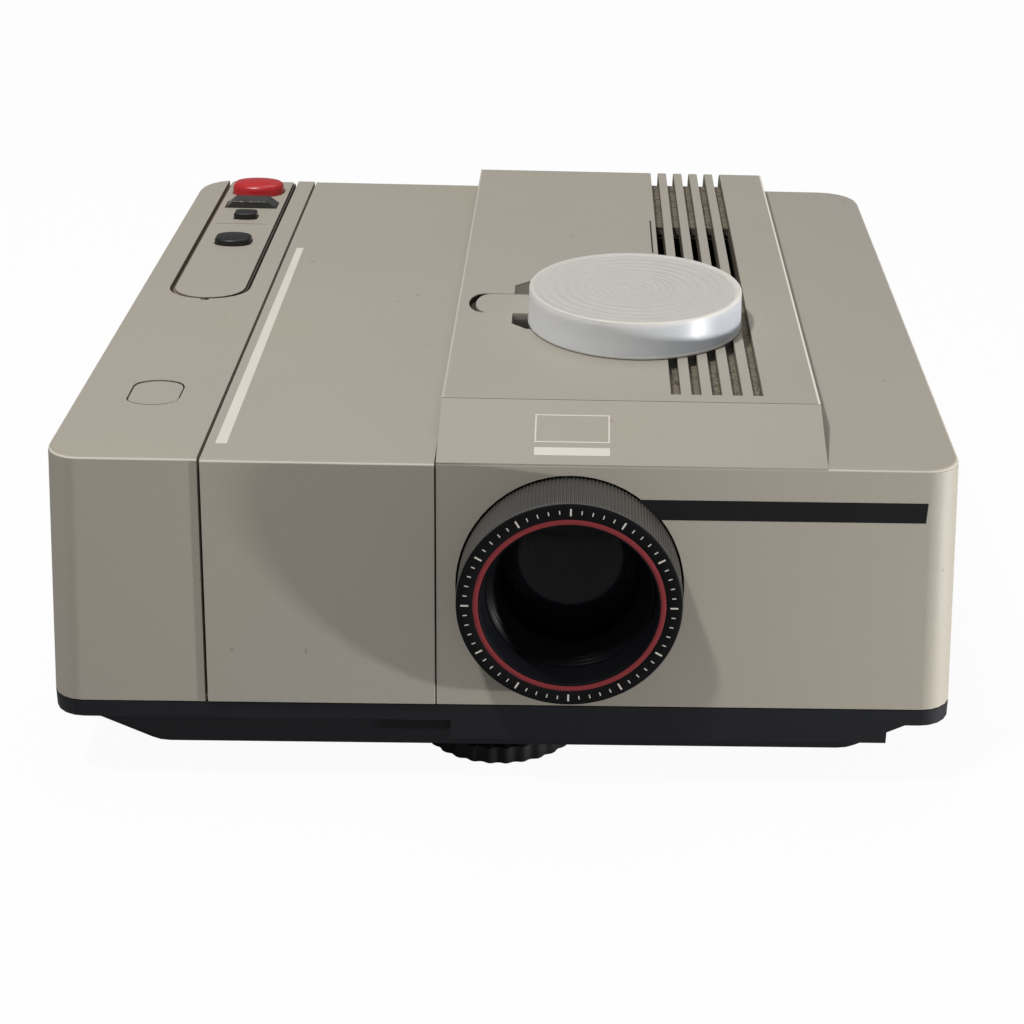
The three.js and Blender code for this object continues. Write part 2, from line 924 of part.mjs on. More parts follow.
// The lamp cover, with five vent slots that run out over its rear edge, a finger well
// and the slot of its latch
const skirtSide = 3.4; // the left skirt reaches this far below the top
const padWidth = 38;
const padDepth = 6.4;
const slotDepth = 3.6;
const slotWidth = 3.1;
const slotPitch = 6.35;
const slotCount = 5;
const slotInset = 71.4; // from the seam to the middle of the first slot
const slotFront = 5.6; // from the cover's front edge
const ventFromRear = 139.5;
const ventLength = 70;
const ventFront = bodyDepth - ventFromRear;
const slotRearOpen = 13.4;
const rearRound = 9;
const slotBridge = 4;
const slotX = (i) => seamRight + slotInset + slotPitch * i;
const padX0 = slotX((slotCount - 1) / 2) - padWidth / 2;
const latchFront = 104.3;
const latchWidth = 18.7;
const latchInset = 6; // from the seam to the tongue's round end
const latchLength = 46;
const latchBulge = 5;
const latchGap = 2; // how far it slides
const latchThick = 1.8;
const fingerInset = 18.8; // from the seam to the finger well
const fingerWidth = 30;
const fingerFront = 89;
const fingerLength = 48;
const fingerDepth = 8;
const fingerCorner = 5;
const fingerWall = 1.6;
const latchX = seamRight + latchInset;
const latchMiddle = latchFront + latchWidth / 2;

function tongue(grow, reach, from, to) {
  const half = latchWidth / 2 + grow;
  const outline = new THREE.Shape();
  outline.moveTo(latchX + latchLength + reach, latchMiddle - half);
  outline.lineTo(latchX + latchLength + reach, latchMiddle + half);
  outline.lineTo(latchX + latchBulge - reach, latchMiddle + half);
  outline.absellipse(
    latchX + latchBulge - reach,
    latchMiddle,
    latchBulge + grow,
    half,
    Math.PI / 2,
    1.5 * Math.PI,
  );
  outline.closePath();
  return raised(outline, from, to, 8);
}

function fingerOutline(grow) {
  const [x0, x1] = [seamRight + fingerInset - grow, seamRight + fingerInset + fingerWidth + grow];
  const [y0, y1] = [fingerFront - grow, fingerFront + fingerLength + grow];
  return polygon(
    [x0 + fingerCorner, y0],
    [x1 - fingerCorner, y0],
    [x1, y0 + fingerCorner],
    [x1, y1 - fingerCorner],
    [x1 - fingerCorner, y1],
    [x0 + fingerCorner, y1],
    [x0, y1 - fingerCorner],
    [x0, y0 + fingerCorner],
  );
}

// The cover's side, seen from the right, drawn in by an amount
function coverSide(inset, low) {
  const back = bodyDepth - inset;
  const round = rearRound - inset;
  const outline = new THREE.Shape();
  outline.moveTo(coverFront + inset, low);
  outline.lineTo(back, low);
  outline.lineTo(back, coverTop - rearRound);
  outline.absarc(back - round, coverTop - rearRound, round, 0, Math.PI / 2);
  outline.lineTo(coverFront + inset, coverTop - inset);
  outline.closePath();
  return outline;
}

function makeCover() {
  const left = seamRight;
  const back = bodyDepth - wall;
  const low = topHeight - rearSkirt;
  const outside = sideways(coverSide(0, low), left, coverRight, 3);
  const inside = sideways(coverSide(wall, low - overrun), left + wall, coverRight - wall, 3);
  const below = block([left - overrun, far], [-far, back], [-far, topHeight + gap]);
  const leftSkirt = block(
    [left, left + wall],
    [coverFront, back],
    [topHeight - skirtSide, topHeight + wall],
  );
  const rightRear = block(
    [coverRight - ledgeWidth, far],
    [back - overrun, far],
    [-far, topHeight + gap],
  );
  const leftRear = block(
    [left - overrun, left + wall + gap],
    [back - overrun, far],
    [-far, topHeight - skirtSide],
  );
  const pad = block(
    [padX0, padX0 + padWidth],
    [coverFront, back - wall],
    [coverTop - padDepth, coverTop - wall / 2],
  );
  const fingerPot = raised(
    fingerOutline(fingerWall),
    coverTop - fingerDepth - fingerWall,
    coverTop - wall / 2,
  );
  const lugs = coverEars.map((y) =>
    joined(
      moved(
        bar("y", coverEarRadius, y + coverEarLength + gap, y + 2 * coverEarLength, 16),
        coverPinX,
        0,
        coverPinZ,
      ),
      block(
        [coverPinX - coverEarRadius, coverPinX + coverEarRadius],
        [y + coverEarLength + gap, y + 2 * coverEarLength],
        [coverPinZ, coverTop - wall / 2],
      ),
    ),
  );
  const grooves = [];
  for (let i = 0; i < slotCount; i += 1) {
    const span = [slotX(i) - slotWidth / 2, slotX(i) + slotWidth / 2];
    grooves.push(
      block(span, [coverFront + slotFront, bodyDepth - slotRearOpen], [coverTop - slotDepth, far]),
      block(span, [ventFront, ventFront + ventLength], [topHeight - overrun, far]),
      block(span, [bodyDepth - slotRearOpen, far], [topHeight - rearSkirt + slotBridge, far]),
    );
  }
  return piece(
    "lamp_cover",
    without(
      joined(without(outside, inside, below, rightRear, leftRear), leftSkirt, pad, fingerPot, ...lugs),
      ...grooves,
      raised(fingerOutline(0), coverTop - fingerDepth, far),
      tongue(gap, latchGap, coverTop - latchThick - gap, far),
      tongue(-wall, 0, coverTop - wall * 2, far).intersect(
        sectionSlab(latchX + latchGap, latchX + latchLength / 4),
      ),
      moved(bar("y", coverPinRadius + gap, coverFront + wall, back, 12), coverPinX, 0, coverPinZ),
    ),
    finishes.shell,
  );
}

function makeCoverPin() {
  const from = coverEars[0] + gap;
  const to = coverEars[1] + 2 * coverEarLength;
  const pin = bar("y", coverPinRadius, from, to, 12);
  return group(coverPinX, 0, coverPinZ, piece("cover_hinge_pin", pin, finishes.steel));
}

function makeLatch() {
  const plate = tongue(0, 0, coverTop - latchThick, coverTop);
  return piece("cover_latch", plate, finishes.shell);
}

// The lens cap, lying closed end up on the lamp cover
const capRadius = 35.8;
const capHeight = 12.3;
const capWall = 1.6;
const capInset = 59.9; // from the seam to its middle
const capY = 97.75;
const ringShares = [0.38, 0.6]; // places of its moulded rings across the radius
const ringStep = 0.35;
const ringWidth = 0.9;

function makeCap() {
  const profile = [
    [0, capHeight - capWall],
    [capRadius - capWall, capHeight - capWall],
    [capRadius - capWall, 0],
    [capRadius, 0],
  ];
  profile.push([capRadius, capHeight - edge], [capRadius - edge, capHeight], [0, capHeight]);
  const grooves = ringShares.map((share) =>
    tube(
      "z",
      capRadius * share,
      capRadius * share + ringWidth,
      capHeight - ringStep,
      capHeight + overrun,
    ),
  );
  const cap = without(turned("z", profile), ...grooves);
  return group(seamRight + capInset, capY, coverTop + gap, piece("lens_cap", cap, finishes.milky));
}

// The lens, about its own axis, with y = 0 at the top edge of the front
const lensFront = 18.5; // its rim, ahead of the front's top edge
const knurlLength = 31;
const knurls = 60;
const knurlDepth = 0.5;
const rimPlain = 1.4;
const redOuter = 28.35;
const redWidth = 1.5;
const redDeep = 1.2;
const mouthRadius = 25.6;
const mouthSteps = 4;
const mouthStepDepth = 2.6;
const mouthStepIn = 0.6;
const lensTubeRadius = 29.3;
const lensTubeRear = 62;
const tubeBore = 21;
const frontGlassRadius = 23.2;
const frontGlassThick = 9;
const frontGlassBulge = 3;
const rearGlassRadius = 17.5;
const rearGlassThick = 5;
const rearBore = 16;
const glassSeat = 2;

function makeLens() {
  const front = -lensFront;
  const knurlRear = front + knurlLength;
  const glassFront = front + mouthSteps * mouthStepDepth;
  const glassRear = glassFront + frontGlassThick;
  const mouth = [[0, front - overrun], [mouthRadius, front - overrun]];
  for (let i = 0; i < mouthSteps; i += 1) {
    const radius = mouthRadius - mouthStepIn * i;
    mouth.push(
      [radius, front + mouthStepDepth * i],
      [radius - mouthStepIn / 2, front + mouthStepDepth * (i + 1)],
    );
  }
  mouth.push(
    [frontGlassRadius + gap, glassFront],
    [frontGlassRadius + gap, glassRear + gap],
    [tubeBore, glassRear + gap],
    [rearBore, lensTubeRear - rearGlassThick - glassSeat],
    [rearGlassRadius + gap, lensTubeRear - rearGlassThick - glassSeat],
    [rearGlassRadius + gap, lensTubeRear + overrun],
    [0, lensTubeRear + overrun],
  );
  const grip = across(ridged(lensRadius, knurlDepth, knurls), front + rimPlain, knurlRear);
  const rim = turned(
    "y",
    [
      [0, front],
      [lensRadius - edge, front],
      [lensRadius, front + edge],
      [lensRadius, front + rimPlain],
      [0, front + rimPlain],
    ],
    60,
  );
  const barrel = without(
    joined(grip, rim, bar("y", lensTubeRadius, knurlRear - overrun, lensTubeRear, 36)),
    turned("y", mouth),
    tube("y", redOuter - redWidth - gap, redOuter + gap, front - overrun, front + redDeep + gap),
  );
  const ringProfile = [
    [redOuter - redWidth, front],
    [redOuter, front],
    [redOuter, front + redDeep],
    [redOuter - redWidth, front + redDeep],
  ];
  const bulge = (radius, from, height, steps) =>
    Array.from({ length: steps + 1 }, (_, i) => {
      const share = i / steps;
      return [radius * share, from - height * (1 - share * share)];
    });
  const glass = turned(
    "y",
    [
      ...bulge(frontGlassRadius, glassFront + frontGlassBulge + edge, frontGlassBulge, 4),
      [frontGlassRadius, glassRear],
      [0, glassRear],
    ],
  );
  const rearFront = lensTubeRear - rearGlassThick - glassSeat + gap;
  const rearGlass = turned(
    "y",
    [
      [0, rearFront],
      [rearGlassRadius, rearFront],
      [rearGlassRadius, rearFront + rearGlassThick - edge],
      [0, rearFront + rearGlassThick],
    ],
    32,
  );
  return [
    piece("lens_barrel", barrel, finishes.black),
    piece("lens_red_ring", turned("y", ringProfile), finishes.red),
    piece("front_lens", glass, finishes.glass),
    piece("rear_lens", rearGlass, finishes.glass),
  ];
}

// The carriage that holds the lens, sliding on two rods along the optical axis
const collarFront = 31;
const collarLength = 18;
const collarWall = 3;
const railRadius = 2.4;
const railReach = 27.6; // from the axis, sideways and down
const railFront = 18;
const railBoss = 3;
const railHub = railRadius + 2.6;
const nutDrop = 6;

function makeCarriage() {
  const rear = collarFront + collarLength;
  const ring = bar("y", lensTubeRadius + gap + collarWall, collarFront, rear, 32);
  const hubs = [-railReach, railReach].map(
    (x) => moved(bar("y", railHub, collarFront, rear, 12), x, 0, -railReach),
  );
  const web = block(
    [-railReach, railReach],
    [collarFront, rear],
    [-railReach - nutDrop / 2, -railReach + nutDrop],
  );
  const bores = [-railReach, railReach].map((x) =>
    moved(bar("y", railRadius + gap, collarFront - overrun, rear + overrun, 12), x, 0, -railReach),
  );
  const body = without(
    joined(ring, web, ...hubs),
    bar("y", lensTubeRadius + gap, collarFront - overrun, rear + overrun, 32),
    ...bores,
  );
  return piece("lens_carriage", body, finishes.black);
}

// The optical bench: a plate on feet with upright walls for the rods, gate and condenser
const benchUnder = 27;
const benchPlate = 2;
const benchLeft = 31; // from the axis to its left edge
const benchRight = 31;
const benchWall = 3;
const gateWall = 101;
const gateWindow = 19;
const condenserWall = 124;
const condenserRadius = 22;
const condenserThick = 7;
const condenserShare = 0.75; // of its wall, the depth of its seat
const condenserBore = 20;
const heatWall = 134;
const heatSize = 44;
const heatThick = 3;
const benchDrop = 12; // its walls below the top of the body
const benchTop = topHeight - benchDrop;
const footSpots = [40, 92, 128];
const benchFoot = 5;
const benchRear = 140;
const gateHalf = slideSize / 2 + 3;

function makeBench() {
  const z0 = benchUnder - axisHeight;
  const plate = block([-benchLeft, benchRight], [railFront, benchRear], [z0, z0 + benchPlate]);
  const upright = (y, thick, top = benchTop - axisHeight) => block(
    [-benchLeft, benchRight],
    [y, y + thick],
    [z0, top],
  );
  const feet = footSpots.flatMap((y) =>
    [-benchLeft, benchRight - benchFoot].map(
      (x) => block(
        [x, x + benchFoot],
        [y, y + benchFoot],
        [tubFloor + gap - axisHeight, z0 + benchPlate],
      ),
    ),
  );
  const railTop = -railReach + railHub;
  const window = block(
    [-gateWindow, gateWindow],
    [gateWall - overrun, gateWall + benchWall + overrun],
    [-gateWindow, gateWindow],
  );
  return piece(
    "optical_bench",
    without(
      joined(
        plate,
        ...feet,
        upright(railFront, benchWall, railTop),
        upright(gateWall, benchWall),
        upright(condenserWall, condenserThick),
        upright(heatWall, benchWall),
      ),
      window,
      block([-far, -gateHalf], [gateY - slideSlot / 2, gateY + slideSlot / 2], [-far, far]),
      bar("y", lensTubeRadius + collarWall, railFront - overrun, railFront + benchWall + overrun, 32),
      bar(
        "y",
        condenserRadius + gap,
        condenserWall - overrun,
        condenserWall + condenserThick * condenserShare,
        32,
      ),
      bar("y", condenserBore, condenserWall - overrun, heatWall + benchWall + overrun, 32),
      block(
        [-heatSize / 2 - gap, heatSize / 2 + gap],
        [heatWall + benchWall - heatThick / 2, heatWall + benchWall + overrun],
        [-heatSize / 2 - gap, heatSize / 2 + gap],
      ),
      ...[-railReach, railReach].map((x) =>
        moved(
          bar("y", railRadius + gap, railFront + benchWall / 2, gateWall + benchWall / 2, 12),
          x,
          0,
          -railReach,
        ),
      ),
    ),
    finishes.steel,
  );
}

function makeRail(name, x) {
  const rod = bar("y", railRadius, railFront + benchWall / 2 + gap, gateWall + benchWall / 2 - gap, 12);
  return group(x, 0, -railReach, piece(name, rod, finishes.steel));
}

// The slide gate, the condenser, the heat glass, and the lamp in its house
const gateFront = gateWall + benchWall + gap;
const gateThick = 14;
const lampHouseFront = 143;
const lampHouseLength = 72;
const lampHouseHalf = 27;
const lampHouseSheet = 1.2;
const lampHouseDrop = 6; // below the top of the body
const lampHouseTop = topHeight - lampHouseDrop;
const lampWindow = 20;
const lampSlotShares = [0.25, 0.75]; // the slot in its side, along its length
const lampY = 172;
const bulbRadius = 6.2;
const bulbHeight = 24;
const bulbNeck = 9;
const lampSocketSize = 9;
const lampSocketHeight = 16;
const lampPost = 6;
const mirrorRadius = 24;
const mirrorDepth = 9;
const mirrorThick = 1.8;
const mirrorY = 196;
const bowlSteps = 4;

function makeGate() {
  const rear = gateFront + gateThick;
  const z0 = benchUnder + benchPlate + gap - axisHeight;
  const frame = block([-gateHalf, gateHalf], [gateFront, rear], [z0, gateHalf]);
  const window = block(
    [-gateWindow, gateWindow],
    [gateFront - overrun, rear + overrun],
    [-gateWindow, gateWindow],
  );
  const lane = block(
    [-gateHalf - overrun, slideSize / 2 + runGap],
    [gateY - slideSlot / 2, gateY + slideSlot / 2],
    [-slideSize / 2 - runGap, slideSize / 2 + runGap],
  );
  return piece("slide_gate", without(frame, window, lane), finishes.black);
}

function makeLamp() {
  const floor = benchUnder + gap - axisHeight;
  const house = without(
    block(
      [-lampHouseHalf, lampHouseHalf],
      [lampHouseFront, lampHouseFront + lampHouseLength],
      [floor, lampHouseTop - axisHeight],
    ),
    block(
      [lampHouseSheet - lampHouseHalf, lampHouseHalf - lampHouseSheet],
      [lampHouseFront + lampHouseSheet, lampHouseFront + lampHouseLength - lampHouseSheet],
      [floor + lampHouseSheet, far],
    ),
    bar("y", lampWindow, lampHouseFront - overrun, lampHouseFront + lampHouseSheet + overrun, 32),
    block(
      [lampHouseHalf - overrun, far],
      lampSlotShares.map((share) => lampHouseFront + lampHouseLength * share),
      [-lampWindow, lampWindow],
    ),
  );
  const legs = [-1, 1].map((side) =>
    block(
      [
        side > 0 ? lampHouseHalf - lampPost : -lampHouseHalf,
        side > 0 ? lampHouseHalf : lampPost - lampHouseHalf,
      ],
      [lampHouseFront + lampHouseLength - lampPost, lampHouseFront + lampHouseLength],
      [tubFloor + gap - axisHeight, floor + lampHouseSheet],
    ),
  );
  const frontLegs = legs.map((leg) => leg.translate([0, lampPost - lampHouseLength, 0]));
  const seat = floor + lampHouseSheet + gap;
  const bulbLow = -bulbNeck;
  const socket = without(
    joined(
      block(
        [-lampSocketSize, lampSocketSize],
        [lampY - lampSocketSize, lampY + lampSocketSize],
        [bulbLow - lampSocketHeight, bulbLow - gap],
      ),
      block(
        [-lampPost, lampPost],
        [lampY - lampPost, lampY + lampPost],
        [seat, bulbLow - lampSocketHeight],
      ),
    ),
    moved(bar("z", bulbRadius / 2 + gap, bulbLow - lampPost - gap, overrun, 12), 0, lampY, 0),
  );
  const bulb = moved(
    turned(
      "z",
      [
        [0, bulbLow - lampPost],
        [bulbRadius / 2, bulbLow - lampPost],
        [bulbRadius / 2, bulbLow],
        [bulbRadius, bulbLow + edge],
        [ bulbRadius, bulbHeight - bulbNeck - bulbRadius, ],
        [bulbRadius / 2, bulbHeight - bulbNeck - edge],
        [0, bulbHeight - bulbNeck],
      ],
      24,
    ),
    0, lampY, 0,
  );
  const bowl = Array.from({ length: bowlSteps + 1 }, (_, i) => {
    const share = i / bowlSteps;
    return [mirrorRadius * share, mirrorY - mirrorDepth * share ** 2];
  });
  const back = [...bowl].reverse().map(([radius, y]) => [radius, y + mirrorThick]);
  const mirror = joined(
    turned("y", [...bowl, ...back], 24),
    block(
      [-lampPost, lampPost],
      [mirrorY - mirrorDepth, mirrorY - mirrorDepth + 2 * mirrorThick],
      [seat, mirrorThick - mirrorRadius],
    ),
  );
  const condenserRear = condenserWall + condenserThick * condenserShare - gap;
  const condenser = bar("y", condenserRadius, condenserWall, condenserRear, 32);
  const heatFront = heatWall + benchWall - heatThick / 2 + gap;
  const half = heatSize / 2;
  return [
    piece("lamp_house", joined(house, ...legs, ...frontLegs), finishes.steel),
    piece("lamp_socket", socket, finishes.ceramic),
    piece("lamp", bulb, finishes.glass),
    piece("lamp_mirror", mirror, finishes.steel),
    piece("condenser_lens", condenser, finishes.glass),
    piece(
      "heat_glass",
      block([-half, half], [heatFront, heatWall + benchWall + heatThick / 2], [-half, half]),
      finishes.glass,
    ),
  ];
}

// Gear teeth as trapezoids. All the gears share one pitch, so one gear's size sets it
const gearTeeth = 28;
const gearPitchRadius = 14;
const toothPitch = (2 * Math.PI * gearPitchRadius) / gearTeeth;
const toothShares = [0.3, 0.14, -0.14, -0.3]; // root, tip, tip and root, of one pitch
const toothTip = 0.85;
const toothRoot = 1.2;

const pitchRadiusOf = (teeth) => (gearPitchRadius * teeth) / gearTeeth;

function gearOutline(teeth, hole, turn = 0) {
  const pitchRadius = pitchRadiusOf(teeth);
  const reaches = [
    pitchRadius - toothRoot,
    pitchRadius + toothTip,
    pitchRadius + toothTip,
    pitchRadius - toothRoot,
  ];
  const outline = new THREE.Shape();
  for (let i = 0; i < teeth; i += 1)
    reaches.forEach((reach, corner) => {
      const angle = ((i - toothShares[corner] + turn) * 2 * Math.PI) / teeth;
      const point = [reach * Math.cos(angle), reach * Math.sin(angle)];
      if (i + corner) outline.lineTo(...point);
      else outline.moveTo(...point);
    });
  outline.holes.push(new THREE.Path().absarc(0, 0, hole, 0, 2 * Math.PI, true));
  return outline;
}

// The tray drive: a gear that reaches into the channel, and its motor with a pinion
const pinionTeeth = 8;
const gearReach = 3.8; // past the channel wall, into the channel
const gearLow = 37;
const gearThick = 6;
const gearPin = 2;
const motorRadius = 10;
const motorBase = 6;
const motorBaseHeight = 4;
const motorTop = 34;
const motorTurn = 110.5; // degrees round the gear to the motor
const motorShaft = 1.2;
const pinionClear = 1;
const gearX = troughLeft + troughWall + gearReach - gearPitchRadius - toothTip;
const meshDistance = gearPitchRadius + pitchRadiusOf(pinionTeeth);
const motorAngle = THREE.MathUtils.degToRad(motorTurn);
const motorX = gearX + meshDistance * Math.cos(motorAngle);
const motorY = gearY + meshDistance * Math.sin(motorAngle);

function makeTrayDrive() {
  const gear = raised(gearOutline(gearTeeth, gearPin + gap), gearLow, gearLow + gearThick, 6);
  // The pinion shows a gap where the gear shows a tooth on the line between them
  const gearPhase = (motorTurn / 360) * gearTeeth;
  const pinionPhase = ((motorTurn + 180) / 360) * pinionTeeth;
  const turn = pinionPhase - (0.5 - (gearPhase % 1));
  const pinion = raised(
    gearOutline(pinionTeeth, motorShaft + gap, turn),
    gearLow + pinionClear,
    gearLow + gearThick - pinionClear,
    6,
  );
  const low = tubFloor + gap;
  const motor = turned(
    "z",
    [
      [0, low],
      [motorBase, low],
      [motorRadius, low + motorBaseHeight],
      [motorRadius, motorTop],
      [motorShaft, motorTop],
      [motorShaft, gearLow + gearThick],
      [0, gearLow + gearThick],
    ],
    24,
  );
  return [
    group(gearX, gearY, 0, piece("tray_gear", gear, finishes.ivory)),
    group(
      motorX,
      motorY,
      0,
      piece("motor_pinion", pinion, finishes.brass),
      piece("tray_motor", motor, finishes.steel),
    ),
  ];
}

// The slide changer: a carriage with a rack and an upright finger, on a rod across the base
const rodRadius = 2;
const rodZ = 21.5;
const rodBehindGate = 7;
const rodFromSide = 17;
const rodPastAxis = 34.8;
const rodY = gateY + rodBehindGate;
const rodLeft = rodFromSide - halfWidth;
const rodRight = lensX + rodPastAxis;
const rodPost = 4;
const rodPostHalf = 3.6;
const carriageTop = 26;
const carriageLow = 16.5;
const carriageBehindGate = 12;
const carriageRear = gateY + carriageBehindGate;
const pusherLeft = troughLeft + troughWall + gap * 2;
const carriageLead = 21.8; // from its left end to its finger
const carriageLeft = pusherLeft - carriageLead;
const carriageLength = 80;
const fingerThick = 2;
const fingerDeep = 2.5;
const fingerOverAxis = 12.5;
const fingerTop = axisHeight + fingerOverAxis;
const changerTeeth = 16;
const changerPinionInset = 9.5; // from the channel's right side
const changerPinionX = troughRight - changerPinionInset;
const changerPinionLow = 18;
const changerPinionHigh = 24;
const changerMotorRadius = 7;
const changerMotorTop = 17.4;
const rackAhead = 0.75; // the roots of its teeth, ahead of the middle of the finger
const rackFace = gateY - rackAhead;
const rackLine = rackFace - toothRoot;
const changerPinionY = rackLine - pitchRadiusOf(changerTeeth);

function makeChanger() {
  const rack = new THREE.Shape();
  const right = carriageLeft + carriageLength;
  rack.moveTo(right, rackFace);
  rack.lineTo(right, carriageRear);
  rack.lineTo(carriageLeft, carriageRear);
  rack.lineTo(carriageLeft, rackFace);
  const first = Math.ceil((carriageLeft - changerPinionX) / toothPitch) + 1;
  const last = Math.floor((right - changerPinionX) / toothPitch) - 1;
  for (let i = first; i <= last; i += 1)
    toothShares.toReversed().forEach((share, corner) => {
      const depth = corner === 1 || corner === 2 ? toothTip + toothRoot : 0;
      rack.lineTo(changerPinionX + (i + 0.5 + share) * toothPitch, rackFace - depth);
    });
  rack.closePath();
  const finger = block(
    [pusherLeft, pusherLeft + fingerThick],
    [gateY - fingerDeep / 2, gateY + fingerDeep / 2],
    [carriageTop - fingerThick, fingerTop],
  );
  const carriage = without(
    joined(raised(rack, carriageLow, carriageTop), finger),
    moved(bar("x", rodRadius + gap, carriageLeft - overrun, right + overrun, 12), 0, rodY, rodZ),
  );
  const rod = bar("x", rodRadius, rodLeft - rodPost + gap, rodRight + rodPost - gap, 12);
  const pinion = raised(
    gearOutline(changerTeeth, gearPin + gap, changerTeeth / 4),
    changerPinionLow,
    changerPinionHigh,
    6,
  );
  const low = tubFloor + gap;
  const motor = turned(
    "z",
    [
      [0, low],
      [changerMotorRadius, low],
      [changerMotorRadius, changerMotorTop],
      [gearPin, changerMotorTop],
      [gearPin, changerPinionHigh + edge],
      [0, changerPinionHigh + edge],
    ],
    24,
  );
  return [
    piece("slide_pusher", carriage, finishes.ivory),
    group(0, rodY, rodZ, piece("pusher_rod", rod, finishes.steel)),
    group(
      changerPinionX,
      changerPinionY,
      0,
      piece("pusher_pinion", pinion, finishes.brass),
      piece("pusher_motor", motor, finishes.steel),
    ),
  ];
}

// The posts of the base that carry the rod and the tray gear
function basePosts() {
  const floor = tubFloor - tubWall / 2;
  const post = (x0) =>
    block([x0, x0 + rodPost], [rodY - rodPostHalf, rodY + rodPostHalf], [floor, rodZ + rodPostHalf]);
  return joined(
    post(rodLeft - rodPost).intersect(tubOutside()),
    post(rodRight),
    moved(bar("z", gearPin * 2, floor, gearLow - gap, 12), gearX, gearY, 0),
    moved(bar("z", gearPin, gearLow - gearPin, gearLow + gearThick + edge, 12), gearX, gearY, 0),
  ).subtract(moved(bar("x", rodRadius + gap, rodLeft - rodPost, rodRight + rodPost, 12), 0, rodY, rodZ));
}

// The blower under the vents: a duct on legs, a drum of blades and its motor
const ductHalf = 15.5;
const blowerX = slotX((slotCount - 1) / 2);
const ductLeft = blowerX - ductHalf;
const ductRight = blowerX + ductHalf;
const ductSheet = 1.4;
const ductBottom = 30;
const ductUnderPad = 0.6; // from the duct to the vents over it
const ductTop = coverTop - padDepth - ductUnderPad;
const drumZ = 50;
const drumRadius = 13.5;
const drumDisc = 1.4;
const drumBlades = 16;
const bladeDepth = 3;
const bladeThick = 1;
const drumShaft = 1.8;
const ductInlet = 11;
const drumClear = 3;
const blowerMotorRadius = 15;
const blowerMotorLength = 26;
const ductFront = ventFront + ductSheet;
const ductRear = ventFront + ventLength - ductSheet;
const blowerFoot = 10;
const ductLeg = 4;

function makeBlower() {
  const low = tubFloor + gap;
  const leg = (x, y) => block([x, x + ductLeg], [y, y + ductLeg], [low, ductBottom + ductSheet / 2]);
  const legs = [ductLeft, ductRight - ductLeg].flatMap(
    (x) => [leg(x, ductFront), leg(x, ductRear - ductLeg)],
  );
  const duct = without(
    joined(block([ductLeft, ductRight], [ductFront, ductRear], [ductBottom, ductTop]), ...legs),
    block(
      [ductLeft + ductSheet, ductRight - ductSheet],
      [ductFront + ductSheet, ductRear - ductSheet],
      [ductBottom + ductSheet, far],
    ),
    moved(bar("y", ductInlet, ductFront - overrun, ductFront + overrun, 24), blowerX, 0, drumZ),
    moved(bar("y", drumShaft + gap, ductRear - overrun, ductRear + overrun, 12), blowerX, 0, drumZ),
    block(
      [-far, ductLeft + overrun],
      [ductFront + drumRadius, ductRear - drumRadius],
      [drumZ + drumRadius, coverTop - padDepth - drumRadius],
    ),
  );
  const from = ductFront + ductSheet + drumClear;
  const to = ductRear - ductSheet - drumClear;
  const disc = bar("y", drumRadius, from, from + drumDisc, 24);
  const blade = block(
    [drumRadius - bladeDepth, drumRadius - edge],
    [from, to],
    [-bladeThick / 2, bladeThick / 2],
  );
  const blades = Array.from(
    { length: drumBlades },
    (_, i) => blade.rotate([0, (360 * i) / drumBlades, 0]),
  );
  const motorFront = ductRear + gap;
  const drum = joined(
    disc,
    disc.translate([0, to - from - drumDisc, 0]),
    ...blades,
    bar("y", drumShaft, from, motorFront + blowerMotorLength / 2, 12),
  );
  const motor = without(
    joined(
      bar("y", blowerMotorRadius, motorFront, motorFront + blowerMotorLength, 32),
      block(
        [-blowerFoot, blowerFoot],
        [motorFront + drumClear, motorFront + blowerMotorLength - drumClear],
        [low - drumZ, -blowerFoot],
      ),
    ),
    bar("y", drumShaft + gap, motorFront - overrun, motorFront + blowerMotorLength / 2 + gap, 12),
  );
  return [
    piece("blower_duct", duct, finishes.steel),
    group(
      blowerX,
      0,
      drumZ,
      piece("blower_drum", drum, finishes.black),
      piece("blower_motor", motor, finishes.steel),
    ),
  ];
}

// The transformer: a laminated core with two windows, and the coil round its middle leg
const coreBesideAxis = 61.8;
const coreX = lensX + coreBesideAxis;
const coreY = 72;
const coreWidth = 50;
const coreThick = 28;
const coreHeight = 44;
const coreLeg = 8;
const coreMiddle = 14;
const coilOver = 8;

function makeTransformer() {
  const low = tubFloor + gap;
  const window = (side) => {
    const x0 = coreMiddle / 2;
    const x1 = coreWidth / 2 - coreLeg;
    return block(
      [Math.min(side * x0, side * x1), Math.max(side * x0, side * x1)],
      [-far, far],
      [low + coreLeg, low + coreHeight - coreLeg],
    );
  };
  const core = without(
    block([-coreWidth / 2, coreWidth / 2], [-coreThick / 2, coreThick / 2], [low, low + coreHeight]),
    window(-1),
    window(1),
  );
  const reach = coreWidth / 2 - coreLeg - gap;
  const deep = coreThick / 2 + coilOver;
  const coil = without(
    block([-reach, reach], [-deep, deep], [low + coreLeg + gap, low + coreHeight - coreLeg - gap]),
    block(
      [-coreMiddle / 2 - gap, coreMiddle / 2 + gap],
      [-coreThick / 2 - gap, coreThick / 2 + gap],
      [0, far],
    ),
  );
  return group(
    coreX,
    coreY,
    0,
    piece("transformer_core", core, finishes.steel),
    piece("transformer_coil", coil, finishes.copper),
  );
}

// The circuit board on its stand-offs, with its main capacitor
const boardBesideDuct = 4;
const boardLeft = ductRight + boardBesideDuct;
const boardWidth = 26;
const boardFront = 112;
const boardLength = 104;
const boardHeight = 24;
const boardThick = 1.6;
const standRadius = 2.5;
const chipHeight = 4;
const chipShares = [0.42, 0.58, 0.74]; // where each chip starts along the board
const relaySize = 14;
const capacitorRadius = 8;
const capacitorHeight = 28;

